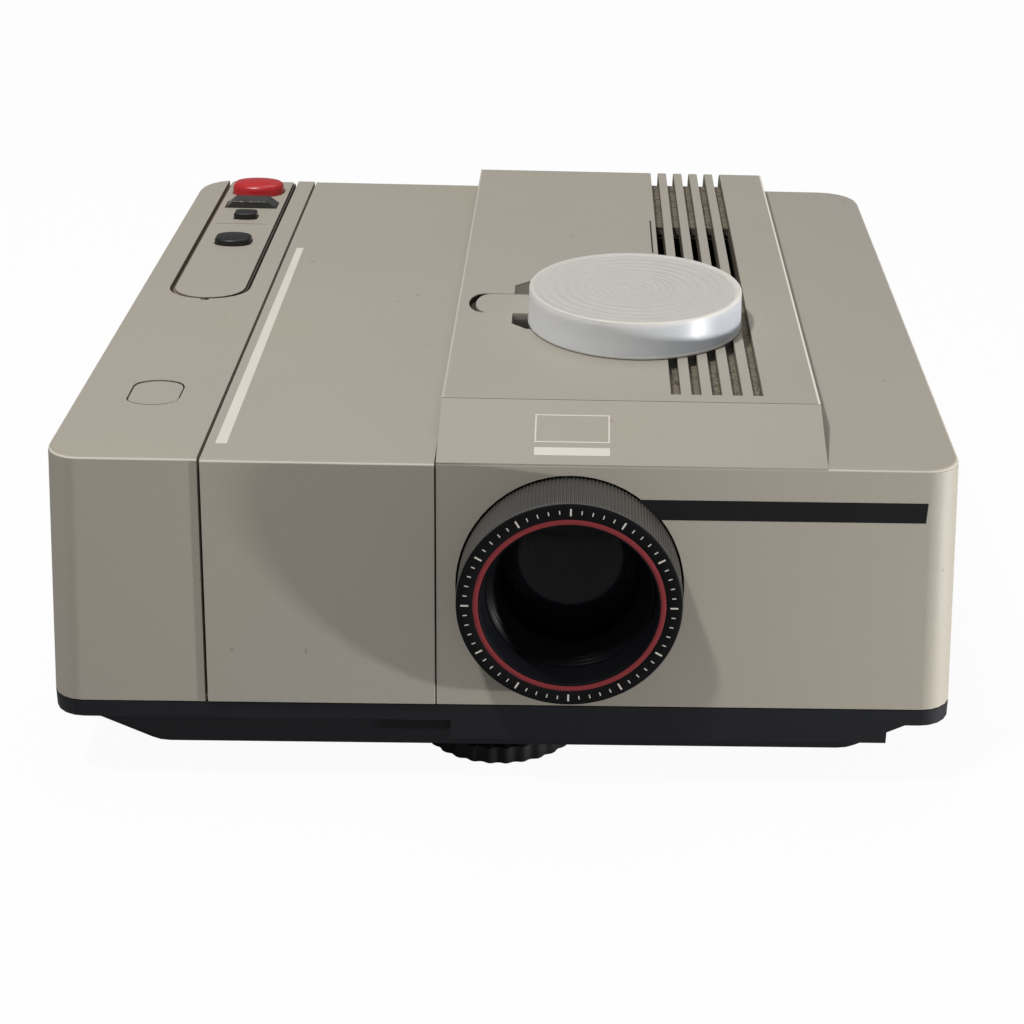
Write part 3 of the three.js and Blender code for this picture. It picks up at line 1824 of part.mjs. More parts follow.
function makeBoard() {
  const top = boardHeight + boardThick;
  const stand = bar("z", standRadius, tubFloor + gap, boardHeight + boardThick / 2, 12);
  const spots = [standRadius, boardWidth - standRadius].flatMap(
    (x) => [standRadius, boardLength - standRadius].map((y) => [x, y]),
  );
  const chips = chipShares.map((share) =>
    block(
      [standRadius * 2, boardWidth - standRadius * 2],
      [boardLength * share, boardLength * share + relaySize / 2],
      [boardHeight, top + chipHeight],
    ),
  );
  const relay = block(
    [standRadius, standRadius + relaySize],
    [boardLength - relaySize - standRadius * 2, boardLength - standRadius * 2],
    [boardHeight, top + relaySize],
  );
  const board = joined(
    block([0, boardWidth], [0, boardLength], [boardHeight, top]),
    ...spots.map(([x, y]) => moved(stand, x, y, 0)),
    ...chips,
    relay,
  );
  const can = moved(
    bar("z", capacitorRadius, top + gap, top + capacitorHeight, 24),
    boardWidth / 2,
    capacitorRadius * 2,
    0,
  );
  return group(
    boardLeft,
    boardFront,
    0,
    piece("circuit_board", board, finishes.board),
    piece("capacitor", can, finishes.steel),
  );
}

// The plate at the back with the mains inlet, the remote socket and the fuse cap
const flange = 3;
const flangeThick = 2.4;
const inletWidth = 27;
const inletHeight = 20;
const inletDeep = 16;
const inletWall = 2.4;
const inletFromLeft = 20;
const inletMouth = 5.4; // from the inlet's face back to its pins
const inletPin = 2;
const inletPinHeight = 4;
const inletPins = [[-6.75, -2], [0, 1], [6.75, -2]]; // each pin's place beside and above the middle
const dinRadius = 8;
const dinDeep = 12;
const dinFromLeft = 46;
const fuseRadius = 6.4;
const fuseDeep = 14;
const fuseFromLeft = 62;
const fuseSlot = 1.4;

function makeSockets() {
  const middle = socketLow + socketHeight / 2;
  const face = bodyDepth + gap;
  const back = bodyDepth - wall - gap;
  const at = (fromLeft) => socketX0 + fromLeft;
  const rectangle = (x, width, height, from, to) => block(
    [x - width / 2, x + width / 2],
    [from, to],
    [middle - height / 2, middle + height / 2],
  );
  const plate = without(
    joined(
      block(
        [socketX0 + gap, socketX1 - gap],
        [back - flangeThick / 2, face],
        [socketLow + gap, socketLow + socketHeight - gap],
      ),
      block(
        [socketX0 - flange, socketX1 + flange],
        [back - flangeThick, back],
        [socketLow - flange, socketLow + socketHeight + flange],
      ),
    ),
    rectangle(at(inletFromLeft), inletWidth + 2 * gap, inletHeight + 2 * gap, -far, far),
    moved(bar("y", dinRadius + gap, 0, far, 24), at(dinFromLeft), 0, middle),
    moved(bar("y", fuseRadius + gap, 0, far, 24), at(fuseFromLeft), 0, middle),
  );
  const pins = inletPins.map(([x, z]) =>
    block(
      [at(inletFromLeft) + x - inletPin / 2, at(inletFromLeft) + x + inletPin / 2],
      [face - inletDeep, face - inletMouth],
      [middle + z, middle + z + inletPinHeight],
    ),
  );
  const inlet = joined(
    without(
      rectangle(at(inletFromLeft), inletWidth, inletHeight, face - inletDeep, face),
      rectangle(
        at(inletFromLeft),
        inletWidth - 2 * inletWall,
        inletHeight - 2 * inletWall,
        face - inletDeep + inletWall,
        far,
      ),
    ),
    ...pins,
  );
  const din = turned(
    "y",
    [
      [0, face - dinDeep],
      [dinRadius, face - dinDeep],
      [dinRadius, face],
      [dinRadius - inletWall, face],
      [dinRadius - inletWall, face - inletWall],
      [0, face - inletWall],
    ],
    24,
  );
  const fuse = without(
    bar("y", fuseRadius, face - fuseDeep, face, 24),
    block([-fuseRadius, fuseRadius], [face - fuseSlot, far], [-fuseSlot / 2, fuseSlot / 2]),
  );
  return [
    piece("socket_plate", plate, finishes.black),
    piece("mains_inlet", inlet, finishes.black),
    group(at(dinFromLeft), 0, middle, piece("remote_socket", din, finishes.black)),
    group(at(fuseFromLeft), 0, middle, piece("fuse_cap", fuse, finishes.black)),
  ];
}

// The motor that shifts the lens carriage, on the bench behind it
const focusMotorRadius = 6;
const focusMotorFront = 68;
const focusMotorLength = 20;
const focusMotorX = 14;

function makeFocusMotor() {
  const z = benchUnder + benchPlate + gap + focusMotorRadius - axisHeight;
  const motor = bar("y", focusMotorRadius, focusMotorFront, focusMotorFront + focusMotorLength, 20);
  return group(focusMotorX, 0, z, piece("focus_motor", motor, finishes.steel));
}

// The object
const model = new THREE.Group();
model.add(
  piece("base_tub", makeBase().add(basePosts()), finishes.base),
  ...posts.map(([x, y], i) => makeScrew(`base_screw_${i + 1}`, x, y)),
  makeFoot(),
  makeRearFoot("rear_foot_left", rearFeet[0]),
  makeRearFoot("rear_foot_right", rearFeet[1]),
  makeControlHousing(),
  ...makePower(),
  makeRemote(),
  makeTrough(),
  makeLid(),
  makeLidPin(),
  makeOpticsHousing(),
  makeCover(),
  makeCoverPin(),
  makeLatch(),
  makeCap(),
  ...makeTrayDrive(),
  ...makeChanger(),
  ...makeBlower(),
  makeTransformer(),
  makeBoard(),
  ...makeSockets(),
  group(
    lensX,
    0,
    axisHeight,
    ...makeLens(),
    makeCarriage(),
    makeBench(),
    makeRail("guide_rod_left", -railReach),
    makeRail("guide_rod_right", railReach),
    makeGate(),
    makeFocusMotor(),
    ...makeLamp(),
  ),
);
model.position.y = (lensFront - bodyDepth - draft) / 2;
export default model;
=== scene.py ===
# %% [markdown]
# # A slide projector for straight trays
#
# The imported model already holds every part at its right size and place, in metres,
# with X to the right, Y to the back and Z up. This script dresses that model: it rounds
# the moulded edges, rebuilds the round and the pressed parts more finely, prints the
# plain stripes, and gives every part a finish made from nodes.

import json
import math

import bmesh
import bpy
from mathutils import Matrix, Vector


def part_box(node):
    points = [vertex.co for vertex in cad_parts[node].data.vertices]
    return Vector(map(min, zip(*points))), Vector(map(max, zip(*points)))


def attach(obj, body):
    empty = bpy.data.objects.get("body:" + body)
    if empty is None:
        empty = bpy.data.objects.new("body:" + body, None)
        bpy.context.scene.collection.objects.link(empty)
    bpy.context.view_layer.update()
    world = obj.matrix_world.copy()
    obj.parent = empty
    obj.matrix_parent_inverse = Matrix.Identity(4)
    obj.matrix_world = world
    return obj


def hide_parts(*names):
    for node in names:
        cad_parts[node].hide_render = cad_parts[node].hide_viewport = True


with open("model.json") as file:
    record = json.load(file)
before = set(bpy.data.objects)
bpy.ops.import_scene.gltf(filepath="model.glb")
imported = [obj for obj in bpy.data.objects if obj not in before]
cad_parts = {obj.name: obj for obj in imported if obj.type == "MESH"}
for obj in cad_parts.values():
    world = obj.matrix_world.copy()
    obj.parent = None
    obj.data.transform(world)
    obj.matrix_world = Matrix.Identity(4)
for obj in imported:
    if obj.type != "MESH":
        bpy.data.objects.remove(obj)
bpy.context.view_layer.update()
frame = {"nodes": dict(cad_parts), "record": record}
nodes = frame["nodes"]
mm = 0.001

# %% [markdown]
# ## The camera
#
# A photograph taken by hand looks slightly down, slightly turned, and is never quite
# level. A camera can be aimed with a constraint, or by its matrix. The matrix is used
# here, because it takes the turn, the dip and the tilt as three plain angles. The frame
# was cut out of a wider picture, so the middle of the lens isn't the middle of the frame:
# a shift moves it over.

# %% Set up the camera
image_width = 1024
sensor_width = 36.0
focal_pixels = 2042.91
middle_x, middle_y = 650.0, 500.0
turn, dip, tilt = (math.radians(angle) for angle in (2.29, 25.22, -1.89))
camera_place = Vector((20.63, -679.41, 349.5)) * mm

ahead = Vector((math.sin(turn), math.cos(turn), 0))
forward = ahead * math.cos(dip) + Vector((0, 0, -math.sin(dip)))
level = Vector((math.cos(turn), -math.sin(turn), 0))
down = forward.cross(level)
right = level * math.cos(tilt) + down * math.sin(tilt)
up = level * math.sin(tilt) - down * math.cos(tilt)

lens = bpy.data.cameras.new("photo_view")
lens.sensor_width = sensor_width
lens.lens = focal_pixels * sensor_width / image_width
lens.shift_x = (image_width / 2 - middle_x) / image_width
lens.shift_y = (middle_y - image_width / 2) / image_width
camera = bpy.data.objects.new("photo_view", lens)
bpy.context.scene.collection.objects.link(camera)
camera_axes = Matrix((right, up, -forward)).transposed().to_4x4()
camera.matrix_world = Matrix.Translation(camera_place) @ camera_axes
bpy.context.scene.camera = camera
bpy.context.scene.view_settings.view_transform = "Standard"
print("camera at", [round(v, 3) for v in camera_place], "focal length", round(lens.lens, 2))

# %% [markdown]
# ## Shader maths in plain Python
#
# A node tree is hard to read as a list of links. Two small helpers turn it into sums.
# A `Field` wraps a socket, so that an expression such as `1 - dust * 0.4` adds the Math
# nodes by itself. A `Finish` is a material round one Principled shader, and its `node`
# method makes every other node: it takes the kind, the settings, and the sockets.

# %% Wrap a socket so that sums make nodes
class Field:
    """A value that changes over a surface."""

    def __init__(self, finish, socket):
        self.finish = finish
        self.socket = socket

    def math(self, operation, *values):
        return self.finish.node("Math", {"operation": operation}, dict(enumerate(values)))

    def __add__(self, other):
        return self.math("ADD", self, other)

    def __sub__(self, other):
        return self.math("SUBTRACT", self, other)

    def __rsub__(self, other):
        return self.math("SUBTRACT", other, self)

    def __mul__(self, other):
        return self.math("MULTIPLY", self, other)

    def __gt__(self, other):
        return self.math("GREATER_THAN", self, other)

    def __lt__(self, other):
        return self.math("LESS_THAN", self, other)

    def __abs__(self):
        return self.math("ABSOLUTE", self)

    def root(self):
        return self.math("SQRT", self)

    __radd__ = __add__
    __rmul__ = __mul__


# %% Wrap a material and its one shader
class Finish:
    """A material with one Principled shader."""

    def __init__(self, name, colour, roughness, **constants):
        self.material = bpy.data.materials.new(name)
        self.material.use_nodes = True
        self.tree = self.material.node_tree
        self.shader = self.tree.nodes["Principled BSDF"]
        self.shader.inputs["Base Color"].default_value = (*colour, 1.0)
        self.shader.inputs["Roughness"].default_value = roughness
        for socket, value in constants.items():
            self.shader.inputs[socket.replace("_", " ")].default_value = value

    def node(self, kind, settings=None, sockets=None, output=0):
        """Makes a node, sets it up, fills its sockets, and returns one output."""
        made = self.tree.nodes.new("ShaderNode" + kind)
        for key, value in (settings or {}).items():
            setattr(made, key, value)
        for key, value in (sockets or {}).items():
            if isinstance(value, Field):
                self.tree.links.new(value.socket, made.inputs[key])
            else:
                made.inputs[key].default_value = value
        return Field(self, made.outputs[output])

    def feed(self, socket, field):
        self.tree.links.new(field.socket, self.shader.inputs[socket])

    def place(self):
        """The point on the surface, in metres, as it moves with its part."""
        return self.node("TexCoord", output="Object")

    def axes(self):
        """The same point as three numbers: across, along and height."""
        split = self.node("SeparateXYZ", sockets={0: self.place()})
        return [Field(self, output) for output in split.socket.node.outputs]

    def noise(self, size, detail=2.0):
        """Soft random patches about `size` metres across."""
        sockets = {"Vector": self.place(), "Scale": 1 / size, "Detail": detail}
        return self.node("TexNoise", sockets=sockets, output="Fac")

    def between(self, field, low, high):
        """0 below low, 1 above high, and a smooth step from one to the other."""
        settings = {"interpolation_type": "SMOOTHSTEP"}
        return self.node("MapRange", settings, {0: field, 1: low, 2: high})

    def blend(self, share, first, second):
        """A colour that goes from first to second as share goes from 0 to 1."""
        colours = [(*c, 1.0) if isinstance(c, tuple) else c for c in (first, second)]
        settings = {"data_type": "RGBA", "blend_type": "MIX"}
        return self.node("Mix", settings, {0: share, 6: colours[0], 7: colours[1]}, output=2)

    def bump(self, height, depth, strength):
        """A normal that leans as if the surface rose by that depth where height is 1."""
        sockets = {"Height": height, "Distance": depth, "Strength": strength}
        return self.node("Bump", sockets=sockets)


# %% Write colours as a screen shows them
def srgb(red, green, blue):
    """A screen colour, 0 to 255, as the linear values that a shader takes."""
    shares = (value / 255 for value in (red, green, blue))
    return tuple(s / 12.92 if s < 0.04045 else ((s + 0.055) / 1.055) ** 2.4 for s in shares)


print("a mid grey of 128 is", round(srgb(128, 128, 128)[0], 3), "in a shader")

# %% [markdown]
# ## The lamps
#
# The light is plain: a soft sky, a wide ceiling lamp, a small one above to the left, and
# a low one to the right, almost in line with the front. The low one throws the lens's
# shadow to the left, and the small one above throws another, downwards. A point lamp
# would cut the shadows too hard. An area lamp's size sets how soft their edges are.

# %% Hang the lamps
lamps = {
    "side": {"place": (0.7, -0.31, 0.018), "size": 0.03, "watts": 4.9},
    "above": {"place": (-0.47, -0.46, 1.45), "size": 0.1, "watts": 13.6},
    "ceiling": {"place": (0.15, 0.45, 1.5), "size": 0.9, "watts": 5.7},
}
aim_at = Vector((0, 0, 50)) * mm
for name, lamp in lamps.items():
    light = bpy.data.lights.new("lamp_" + name, "AREA")
    light.size = lamp["size"]
    light.energy = lamp["watts"]
    holder = bpy.data.objects.new("lamp_" + name, light)
    holder.location = lamp["place"]
    holder.rotation_euler = (aim_at - holder.location).to_track_quat("-Z", "Y").to_euler()
    bpy.context.scene.collection.objects.link(holder)
print(len(lamps), "lamps hung")

# %% [markdown]
# ## A white room that throws little light
#
# The photograph's background is plain white. A white sky and floor would flood the
# object with light from every side, so both are white to the camera only. A Light Path
# node tells the two apart. The floor keeps a share of its own shading, which holds the
# shadow.

# %% Whiten the sky
white = (1.0, 1.0, 1.0)
sky_light = 0.24


def seen_directly(finish):
    """1 where the camera looks, and 0 for the light that surfaces throw on each other."""
    return finish.node("LightPath", output="Is Camera Ray")


world = bpy.data.worlds.new("room")
world.use_nodes = True
bpy.context.scene.world = world
sky = Finish("sky_sums", white, 1.0)
sky.tree = world.node_tree
strength = seen_directly(sky) * (1 - sky_light) + sky_light
background = world.node_tree.nodes["Background"]
background.inputs["Color"].default_value = (*white, 1.0)
world.node_tree.links.new(strength.socket, background.inputs["Strength"])
print("the sky lights the object at", sky_light, "of what the camera sees")

# %% Lay the floor
floor_reach = 4.0
floor_white_share = 0.9
floor_glow = 1.06
floor_mesh = bpy.data.meshes.new("floor")
directions = ((-1, -1), (1, -1), (1, 1), (-1, 1))
corners = [(x * floor_reach, y * floor_reach, 0) for x, y in directions]
floor_mesh.from_pydata(corners, [], [(0, 1, 2, 3)])
floor = bpy.data.objects.new("floor", floor_mesh)
bpy.context.scene.collection.objects.link(floor)
paper = Finish("floor_paper", (0.36, 0.36, 0.36), 0.9)
glow = paper.node("Emission", sockets={"Color": (*white, 1.0), "Strength": floor_glow})
share = seen_directly(paper) * floor_white_share
shaded = Field(paper, paper.shader.outputs[0])
mixed = paper.node("MixShader", sockets={0: share, 1: shaded, 2: glow})
paper.tree.links.new(mixed.socket, paper.tree.nodes["Material Output"].inputs["Surface"])
floor_mesh.materials.append(paper.material)
print("a floor", 2 * floor_reach, "m wide")

# %% [markdown]
# ## The grey moulded shell
#
# The housing is injection-moulded in a steel tool that was eroded to a fine, even grain.
# It isn't paint: the colour goes all the way through, a little warmer where years of
# lamp heat and light have reached it. A photograph of grain would stretch over the
# sides, so two noises make it here in the part's own space: a fine one for the grain's
# bumps, and a broad, faint one for the uneven colour and polish.

# %% Find the edges that get a painted highlight
body_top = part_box("control_housing")[1].z
highlight_pale = srgb(226, 219, 205)
highlight_height = body_top - 0.52 * mm
highlight_reach = (0.22 * mm, 0.14 * mm)
above_a_side = (0.12, 0.28)
below_a_top = (0.92, 0.85)


def upward(finish):
    """How far a face looks up: 1 on a top, 0 on a side."""
    facing = finish.node("TexCoord", output="Normal")
    return finish.node("SeparateXYZ", sockets={0: facing}, output="Z")


def painted_edge_highlight(finish):
    """A painted highlight: a thin pale line on the rounded edges round the top, where they catch
    the light.
    """
    slope = upward(finish)
    slanted = finish.between(slope, *above_a_side) * finish.between(slope, *below_a_top)
    height = finish.axes()[2]
    return slanted * finish.between(abs(height - highlight_height), *highlight_reach)


# The painted highlight line lies at this height.
print("the rubbed line lies at a height of", round(highlight_height / mm, 2), "mm")

# %% Mix the shell finish
shell_grey = srgb(170, 164, 153)
shell_warm = srgb(172, 164, 148)
speck_brown = srgb(112, 98, 78)
black = (0.0, 0.0, 0.0)
grain_size, grain_depth, grain_shade = 0.55 * mm, 0.035 * mm, 0.1
cloud_size, cloud_share = 90 * mm, 0.55
speck_size, speck_level, speck_share = 3.2 * mm, 0.865, 0.35
edge_highlight_share = 0.55
smoothest = 0.46


def shell_finish(name, *layers):
    """The grained grey. Each layer adds its own colour where its mask is 1."""
    made = Finish(name, shell_grey, 0.55, IOR=1.45)
    grain = made.noise(grain_size, detail=3.0)
    clouds = made.between(made.noise(cloud_size, detail=4.0), 0.35, 0.7)
    specks = made.noise(speck_size, detail=0.0) > speck_level
    colour = made.blend(clouds * cloud_share, shell_grey, shell_warm)
    colour = made.blend(specks * speck_share, colour, speck_brown)
    colour = made.blend(grain * grain_shade, colour, black)
    # Painted highlight: the rounded top edges are lightened along a thin line.
    colour = made.blend(painted_edge_highlight(made) * edge_highlight_share, colour, highlight_pale)
    for layer in layers:
        mask, above = layer(made)
        colour = made.blend(mask, colour, above)
    made.feed("Base Color", colour)
    made.feed("Roughness", clouds * 0.08 + grain * 0.12 + smoothest)
    made.feed("Normal", made.bump(grain, grain_depth, 0.5))
    return made


shell = shell_finish("grained_grey_shell")
print("the shell finish has", len(shell.tree.nodes), "nodes")

# %% [markdown]
# ## Dirt, painted shade and painted light on the lamp cover
#
# Air has been drawn through the slots for years, and the dust it carried has settled and
# baked on their floors. The gap at the end of the latch gets painted shade, dark brown,
# while the well under the latch gets painted light and the long rims painted highlights,
# both pale. Two faint lines show where the parts of the mould met. A mask can be painted by hand,
# or taken from the shape.
# Here the shape gives it: a point is in a slot when it lies below the top of the cover
# and between the first and the last slot.

# %% Measure the cover and write three helpers for masks
cover_low, cover_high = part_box("lamp_cover")
cover_top = cover_high.z
slots_left, slots_right = 47.6 * mm, 81.0 * mm
slots_front, slots_rear = -100 * mm, 139.5 * mm
# This share sets both the dust in the slots and the painted shade in the gaps.
dirt_and_shade_share = 0.95


def inside(field, low, high):
    """1 between low and high, and 0 outside."""
    return (field > low) * (field < high)


def sunk(finish, height, top, start, full):
    """0 at start and 1 at full, both in mm below a top."""
    return finish.between(height, top - start * mm, top - full * mm)


def thin_line(finish, field, place, edge, core):
    """1 within core of a place and 0 beyond edge, both in mm."""
    return finish.between(abs(field - place), edge * mm, core * mm)


print("the slots span", round((slots_right - slots_left) / mm, 1), "mm")

# %% Bake the dust on the floors of the slots
grime_brown = srgb(96, 88, 73)
grime_pale = srgb(134, 125, 107)
crack_brown = srgb(38, 33, 27)
cake_size = 6 * mm
crack_spacing, crack_width, crack_share = 4.5 * mm, 0.035, 0.75


def slot_floors(finish):
    """Cakes of dust, with dry cracks between them."""
    across, along, height = finish.axes()
    cakes = finish.noise(cake_size, detail=4.0)
    grime = finish.blend(cakes, grime_brown, grime_pale)
    sockets = {"Vector": finish.place(), "Scale": 1 / crack_spacing}
    cracks = finish.node("TexVoronoi", {"feature": "DISTANCE_TO_EDGE"}, sockets) < crack_width
    grime = finish.blend(cracks * crack_share, grime, crack_brown)
    slots = inside(across, slots_left, slots_right) * inside(along, slots_front, slots_rear)
    return sunk(finish, height, cover_top, 0.5, 2.6) * slots * dirt_and_shade_share, grime


print("cakes of dust of about", round(cake_size / mm, 1), "mm")

# %% Paint shade in the latch's gap and light in the well under it
latch_low, latch_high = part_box("cover_latch")
latch_middle = (latch_low.y + latch_high.y) / 2
gap_shade_brown = srgb(44, 36, 25)
gap_middle, gap_reach = latch_low.x + 2 * mm, 5 * mm
gap_half = (latch_high.y - latch_low.y) / 2 + 0.6 * mm
well_light_pale = srgb(190, 186, 178)
well_left, well_half = latch_low.x + 9 * mm, 26 * mm


def latch_gap_shade(finish):
    """Painted shade: the gap at the free end of the latch is painted dark brown just below the top,
    where shade falls in it.
    """
    across, along, height = finish.axes()
    beside = (abs(along - latch_middle) < gap_half) * (abs(across - gap_middle) < gap_reach)
    return sunk(finish, height, cover_top, 0.2, 0.5) * beside * dirt_and_shade_share, gap_shade_brown


def well_painted_light(finish):
    """Painted light: the well under the latch is painted pale, as light and the cap's reflection
    make it look.
    """
    across, along, height = finish.axes()
    well = (abs(along - latch_middle) < well_half) * inside(across, well_left, slots_left)
    return sunk(finish, height, cover_top, 0.3, 0.9) * well, well_light_pale


print("the latch's gap is dark over", round(2 * gap_half / mm, 1), "mm")

# %% Paint highlights on the rims and draw the lines of the mould
rim_highlight_pale = srgb(240, 232, 220)
rim_depth = 14 * mm
right_outer, right_inner, right_share = 0.75 * mm, 0.5 * mm, 0.85
left_outer, left_inner, left_share = 0.7 * mm, 0.45 * mm, 0.26
mould_places, mould_end, mould_share = (10.5 * mm, 83.0 * mm), 15 * mm, 0.16
slit_across, slit_half_width = 47.35 * mm, 0.3 * mm
slit_along, slit_half_length = 57.5 * mm, 19.5 * mm


def rim_highlights(finish):
    """Painted highlights: thin pale lines along the long rims of the cover, where their rounded
    edges catch the light.
    """
    across, along, height = finish.axes()
    right = finish.between(across, cover_high.x - right_outer, cover_high.x - right_inner)
    left = finish.between(across, cover_low.x + left_outer, cover_low.x + left_inner)
    top = finish.between(upward(finish), 0.3, 0.6) * (height > cover_top - rim_depth)
    return (right * right_share + left * left_share) * top, rim_highlight_pale


def mould_lines(finish):
    """Two faint lines that the parts of the mould left across the cover."""
    across, along, height = finish.axes()
    front, rear = (thin_line(finish, along, place, 0.3, 0.1) for place in mould_places)
    return (front + rear) * (across < mould_end) * mould_share, speck_brown


def dark_slit(finish):
    """The narrow dark line left of the first slot."""
    across, along, height = finish.axes()
    narrow = abs(across - slit_across) < slit_half_width
    return narrow * (abs(along - slit_along) < slit_half_length), crack_brown


print("the lines of the mould end", round(mould_end / mm, 1), "mm right of the middle")

# %% Mix the finish of the cover
cover_layers = (slot_floors, well_painted_light, latch_gap_shade, mould_lines, dark_slit, rim_highlights)
cover_finish = shell_finish("grained_grey_cover", *cover_layers)
print("the cover wears", len(cover_layers), "layers")

# %% [markdown]
# ## Painted shade in the grooves
#
# The handset lies in a recess, and the power button in a hole. Shade falls in the thin
# gap round each, and it is painted. The walls of the handset's gap get painted shade that
# follows their depth, as the dust in the slots does, and is paler on the left half. The button's
# gap is too narrow to look into, so its shade is painted on the shell as a line that follows the
# button's outline: straight sides, with half an ellipse at each end.

# %% Paint shade in the groove round the handset
groove_shade_brown = srgb(46, 39, 32)
groove_shade_pale = srgb(124, 110, 92)
groove_shade_share = 0.9
recess_left, recess_right = -127 * mm, -95 * mm
recess_front, recess_rear = -100 * mm, 146.5 * mm
recess_middle = -111 * mm


def groove_wall_shade(finish):
    """Painted shade: dark just below the top, in the gap where no light falls, paler on the left
    half, and plain further down.
    """
    across, along, height = finish.axes()
    low = sunk(finish, height, body_top, 0.1, 0.4) * sunk(finish, height, body_top, 2.6, 1.2)
    recess = inside(across, recess_left, recess_right) * inside(along, recess_front, recess_rear)
    colour = finish.blend(across > recess_middle, groove_shade_pale, groove_shade_brown)
    return low * recess * groove_shade_share, colour


print("the recess is", round((recess_right - recess_left) / mm, 1), "mm wide")

# %% Paint the shade line round the power button
button_low, button_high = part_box("power_button")
button_middle = (button_low.x + button_high.x) / 2
button_bulge, button_rim = 5 * mm, 0.42 * mm
button_half = (button_high.x - button_low.x) / 2 + button_rim
line_reach = button_bulge + button_rim
lip_height = 0.1 * mm


def button_gap_shade(finish):
    """Painted shade: a dark line in front of and right of the power button, where its gap lies in
    shade.
    """
    across, along, height = finish.axes()
    share = (across - button_middle) * (1 / button_half)
    rise = (1 - share * share).root()
    front_edge = button_low.y + button_bulge - rise * line_reach
    front = thin_line(finish, along, front_edge, 0.42, 0.22) * (abs(share) < 1.0)
    side = thin_line(finish, across, button_high.x + button_rim, 0.3, 0.14)
    straight = inside(along, button_low.y + button_bulge, button_high.y - button_bulge)
    on_top = abs(height - body_top) < lip_height
    return (front + side * straight) * on_top * dirt_and_shade_share, groove_shade_brown


groove_finish = shell_finish("grained_grey_grooves", groove_wall_shade, button_gap_shade)
print("the groove finish has", len(groove_finish.tree.nodes), "nodes")

# %% [markdown]
# ## The other finishes
#
# Each small family of parts gets one finish: a ridged grey for the lens's grip, matt
# black for the base and the hidden frame, gloss for the keys, and bare metals inside.
# One function mixes them all, because they differ only in colour, shine and grain. All
# of them carry some noise in their roughness, since nothing that has been handled shines
# evenly.

# %% Mix the plastics and the rubber
dull = {"Specular_IOR_Level": 0.2}


def grained(name, colour, roughness, size, depth, spread=0.1, **constants):
    """A finish with a grain of that size and depth, in mm, and an uneven shine."""
    made = Finish(name, colour, roughness, **constants)
    grain = made.noise(size * mm, detail=3.0)
    smear = made.noise(40 * size * mm, detail=2.0)
    made.feed("Roughness", grain * spread + smear * spread + (roughness - spread))
    shade = grain * 0.2 + smear * 0.2
    lighter = tuple(min(1.0, c * 1.25 + 0.002) for c in colour)
    darker = tuple(c * 0.8 for c in colour)
    made.feed("Base Color", made.blend(shade + 0.3, darker, lighter))
    made.feed("Normal", made.bump(grain, depth * mm, 0.5))
    return made


base_black = grained("matt_base_black", srgb(31, 32, 35), 0.55, 0.6, 0.03, **dull)
frame_black = grained("plain_inner_black", srgb(34, 32, 31), 0.6, 0.8, 0.02, **dull)
key_black = grained("key_black", srgb(34, 34, 34), 0.38, 0.5, 0.012, Specular_IOR_Level=0.3)
rocker_gloss = grained("rocker_gloss", srgb(36, 35, 36), 0.2, 0.5, 0.004, Specular_IOR_Level=0.7)
key_red = grained("key_red", srgb(186, 38, 42), 0.3, 0.9, 0.004, 0.05, Specular_IOR_Level=0.45)
rubber = grained("foot_rubber", srgb(22, 22, 23), 0.7, 0.7, 0.03, **dull)
ivory = grained("ivory_plastic", srgb(218, 208, 186), 0.5, 0.6, 0.01)
print("seven plastics and rubbers mixed")

# %% Mix the metals, the ceramic and the board
ceramic = grained("lamp_ceramic", srgb(232, 226, 214), 0.45, 0.8, 0.01)
board_green = grained("board_green", srgb(38, 92, 52), 0.3, 0.4, 0.004)
steel = grained("bare_steel", srgb(176, 178, 180), 0.32, 0.5, 0.005, Metallic=1.0)
sheet = grained("rolled_sheet", srgb(196, 198, 200), 0.4, 0.7, 0.006, Metallic=1.0)
brass = grained("turned_brass", srgb(190, 154, 88), 0.3, 0.4, 0.004, Metallic=1.0)
copper = grained("wound_copper", srgb(176, 96, 58), 0.35, 0.5, 0.02, Metallic=1.0)
print("four metals, a ceramic and a board mixed")

# %% Mix the inks and the finishes of the lens
print_white = grained("print_white", srgb(215, 208, 197), 0.5, 0.5, 0.004)
print_black = grained("print_black", srgb(24, 23, 25), 0.45, 0.5, 0.004, **dull)
print_grey = grained("print_grey", srgb(132, 126, 116), 0.5, 0.5, 0.004)
grip_grey = grained("grip_grey", srgb(72, 70, 66), 0.36, 0.4, 0.01, Specular_IOR_Level=0.5)
ring_black = grained("ring_black", srgb(17, 17, 19), 0.5, 0.5, 0.006, Specular_IOR_Level=0.08)
ring_red = grained("ring_red", srgb(134, 47, 51), 0.45, 0.3, 0.005, Specular_IOR_Level=0.3)
mouth_black = grained("mouth_black", srgb(11, 12, 16), 0.6, 0.4, 0.004, Specular_IOR_Level=0.06)
thread_black = grained("thread_black", srgb(9, 10, 13), 0.36, 0.4, 0.004, Specular_IOR_Level=0.05)
deep_black = Finish("deep_black", srgb(7, 7, 9), 0.8, Specular_IOR_Level=0.0)
print("three inks and six finishes of the lens mixed")

# %% [markdown]
# ## The milky cap and the glass
#
# The lens cap is thin, soft, milky plastic: some light gets in and is spread before it
# comes back out. Subsurface scattering does that. Its wall has painted shade, darker and
# bluish towards the right, its lip a painted highlight, and its top painted shade of its own.
# The front glass has a dark coat and is partly see-through, so that the stepped mouth shows
# behind it. What lies deep in the lens is nearly black, because hardly any light comes back out of
# there.

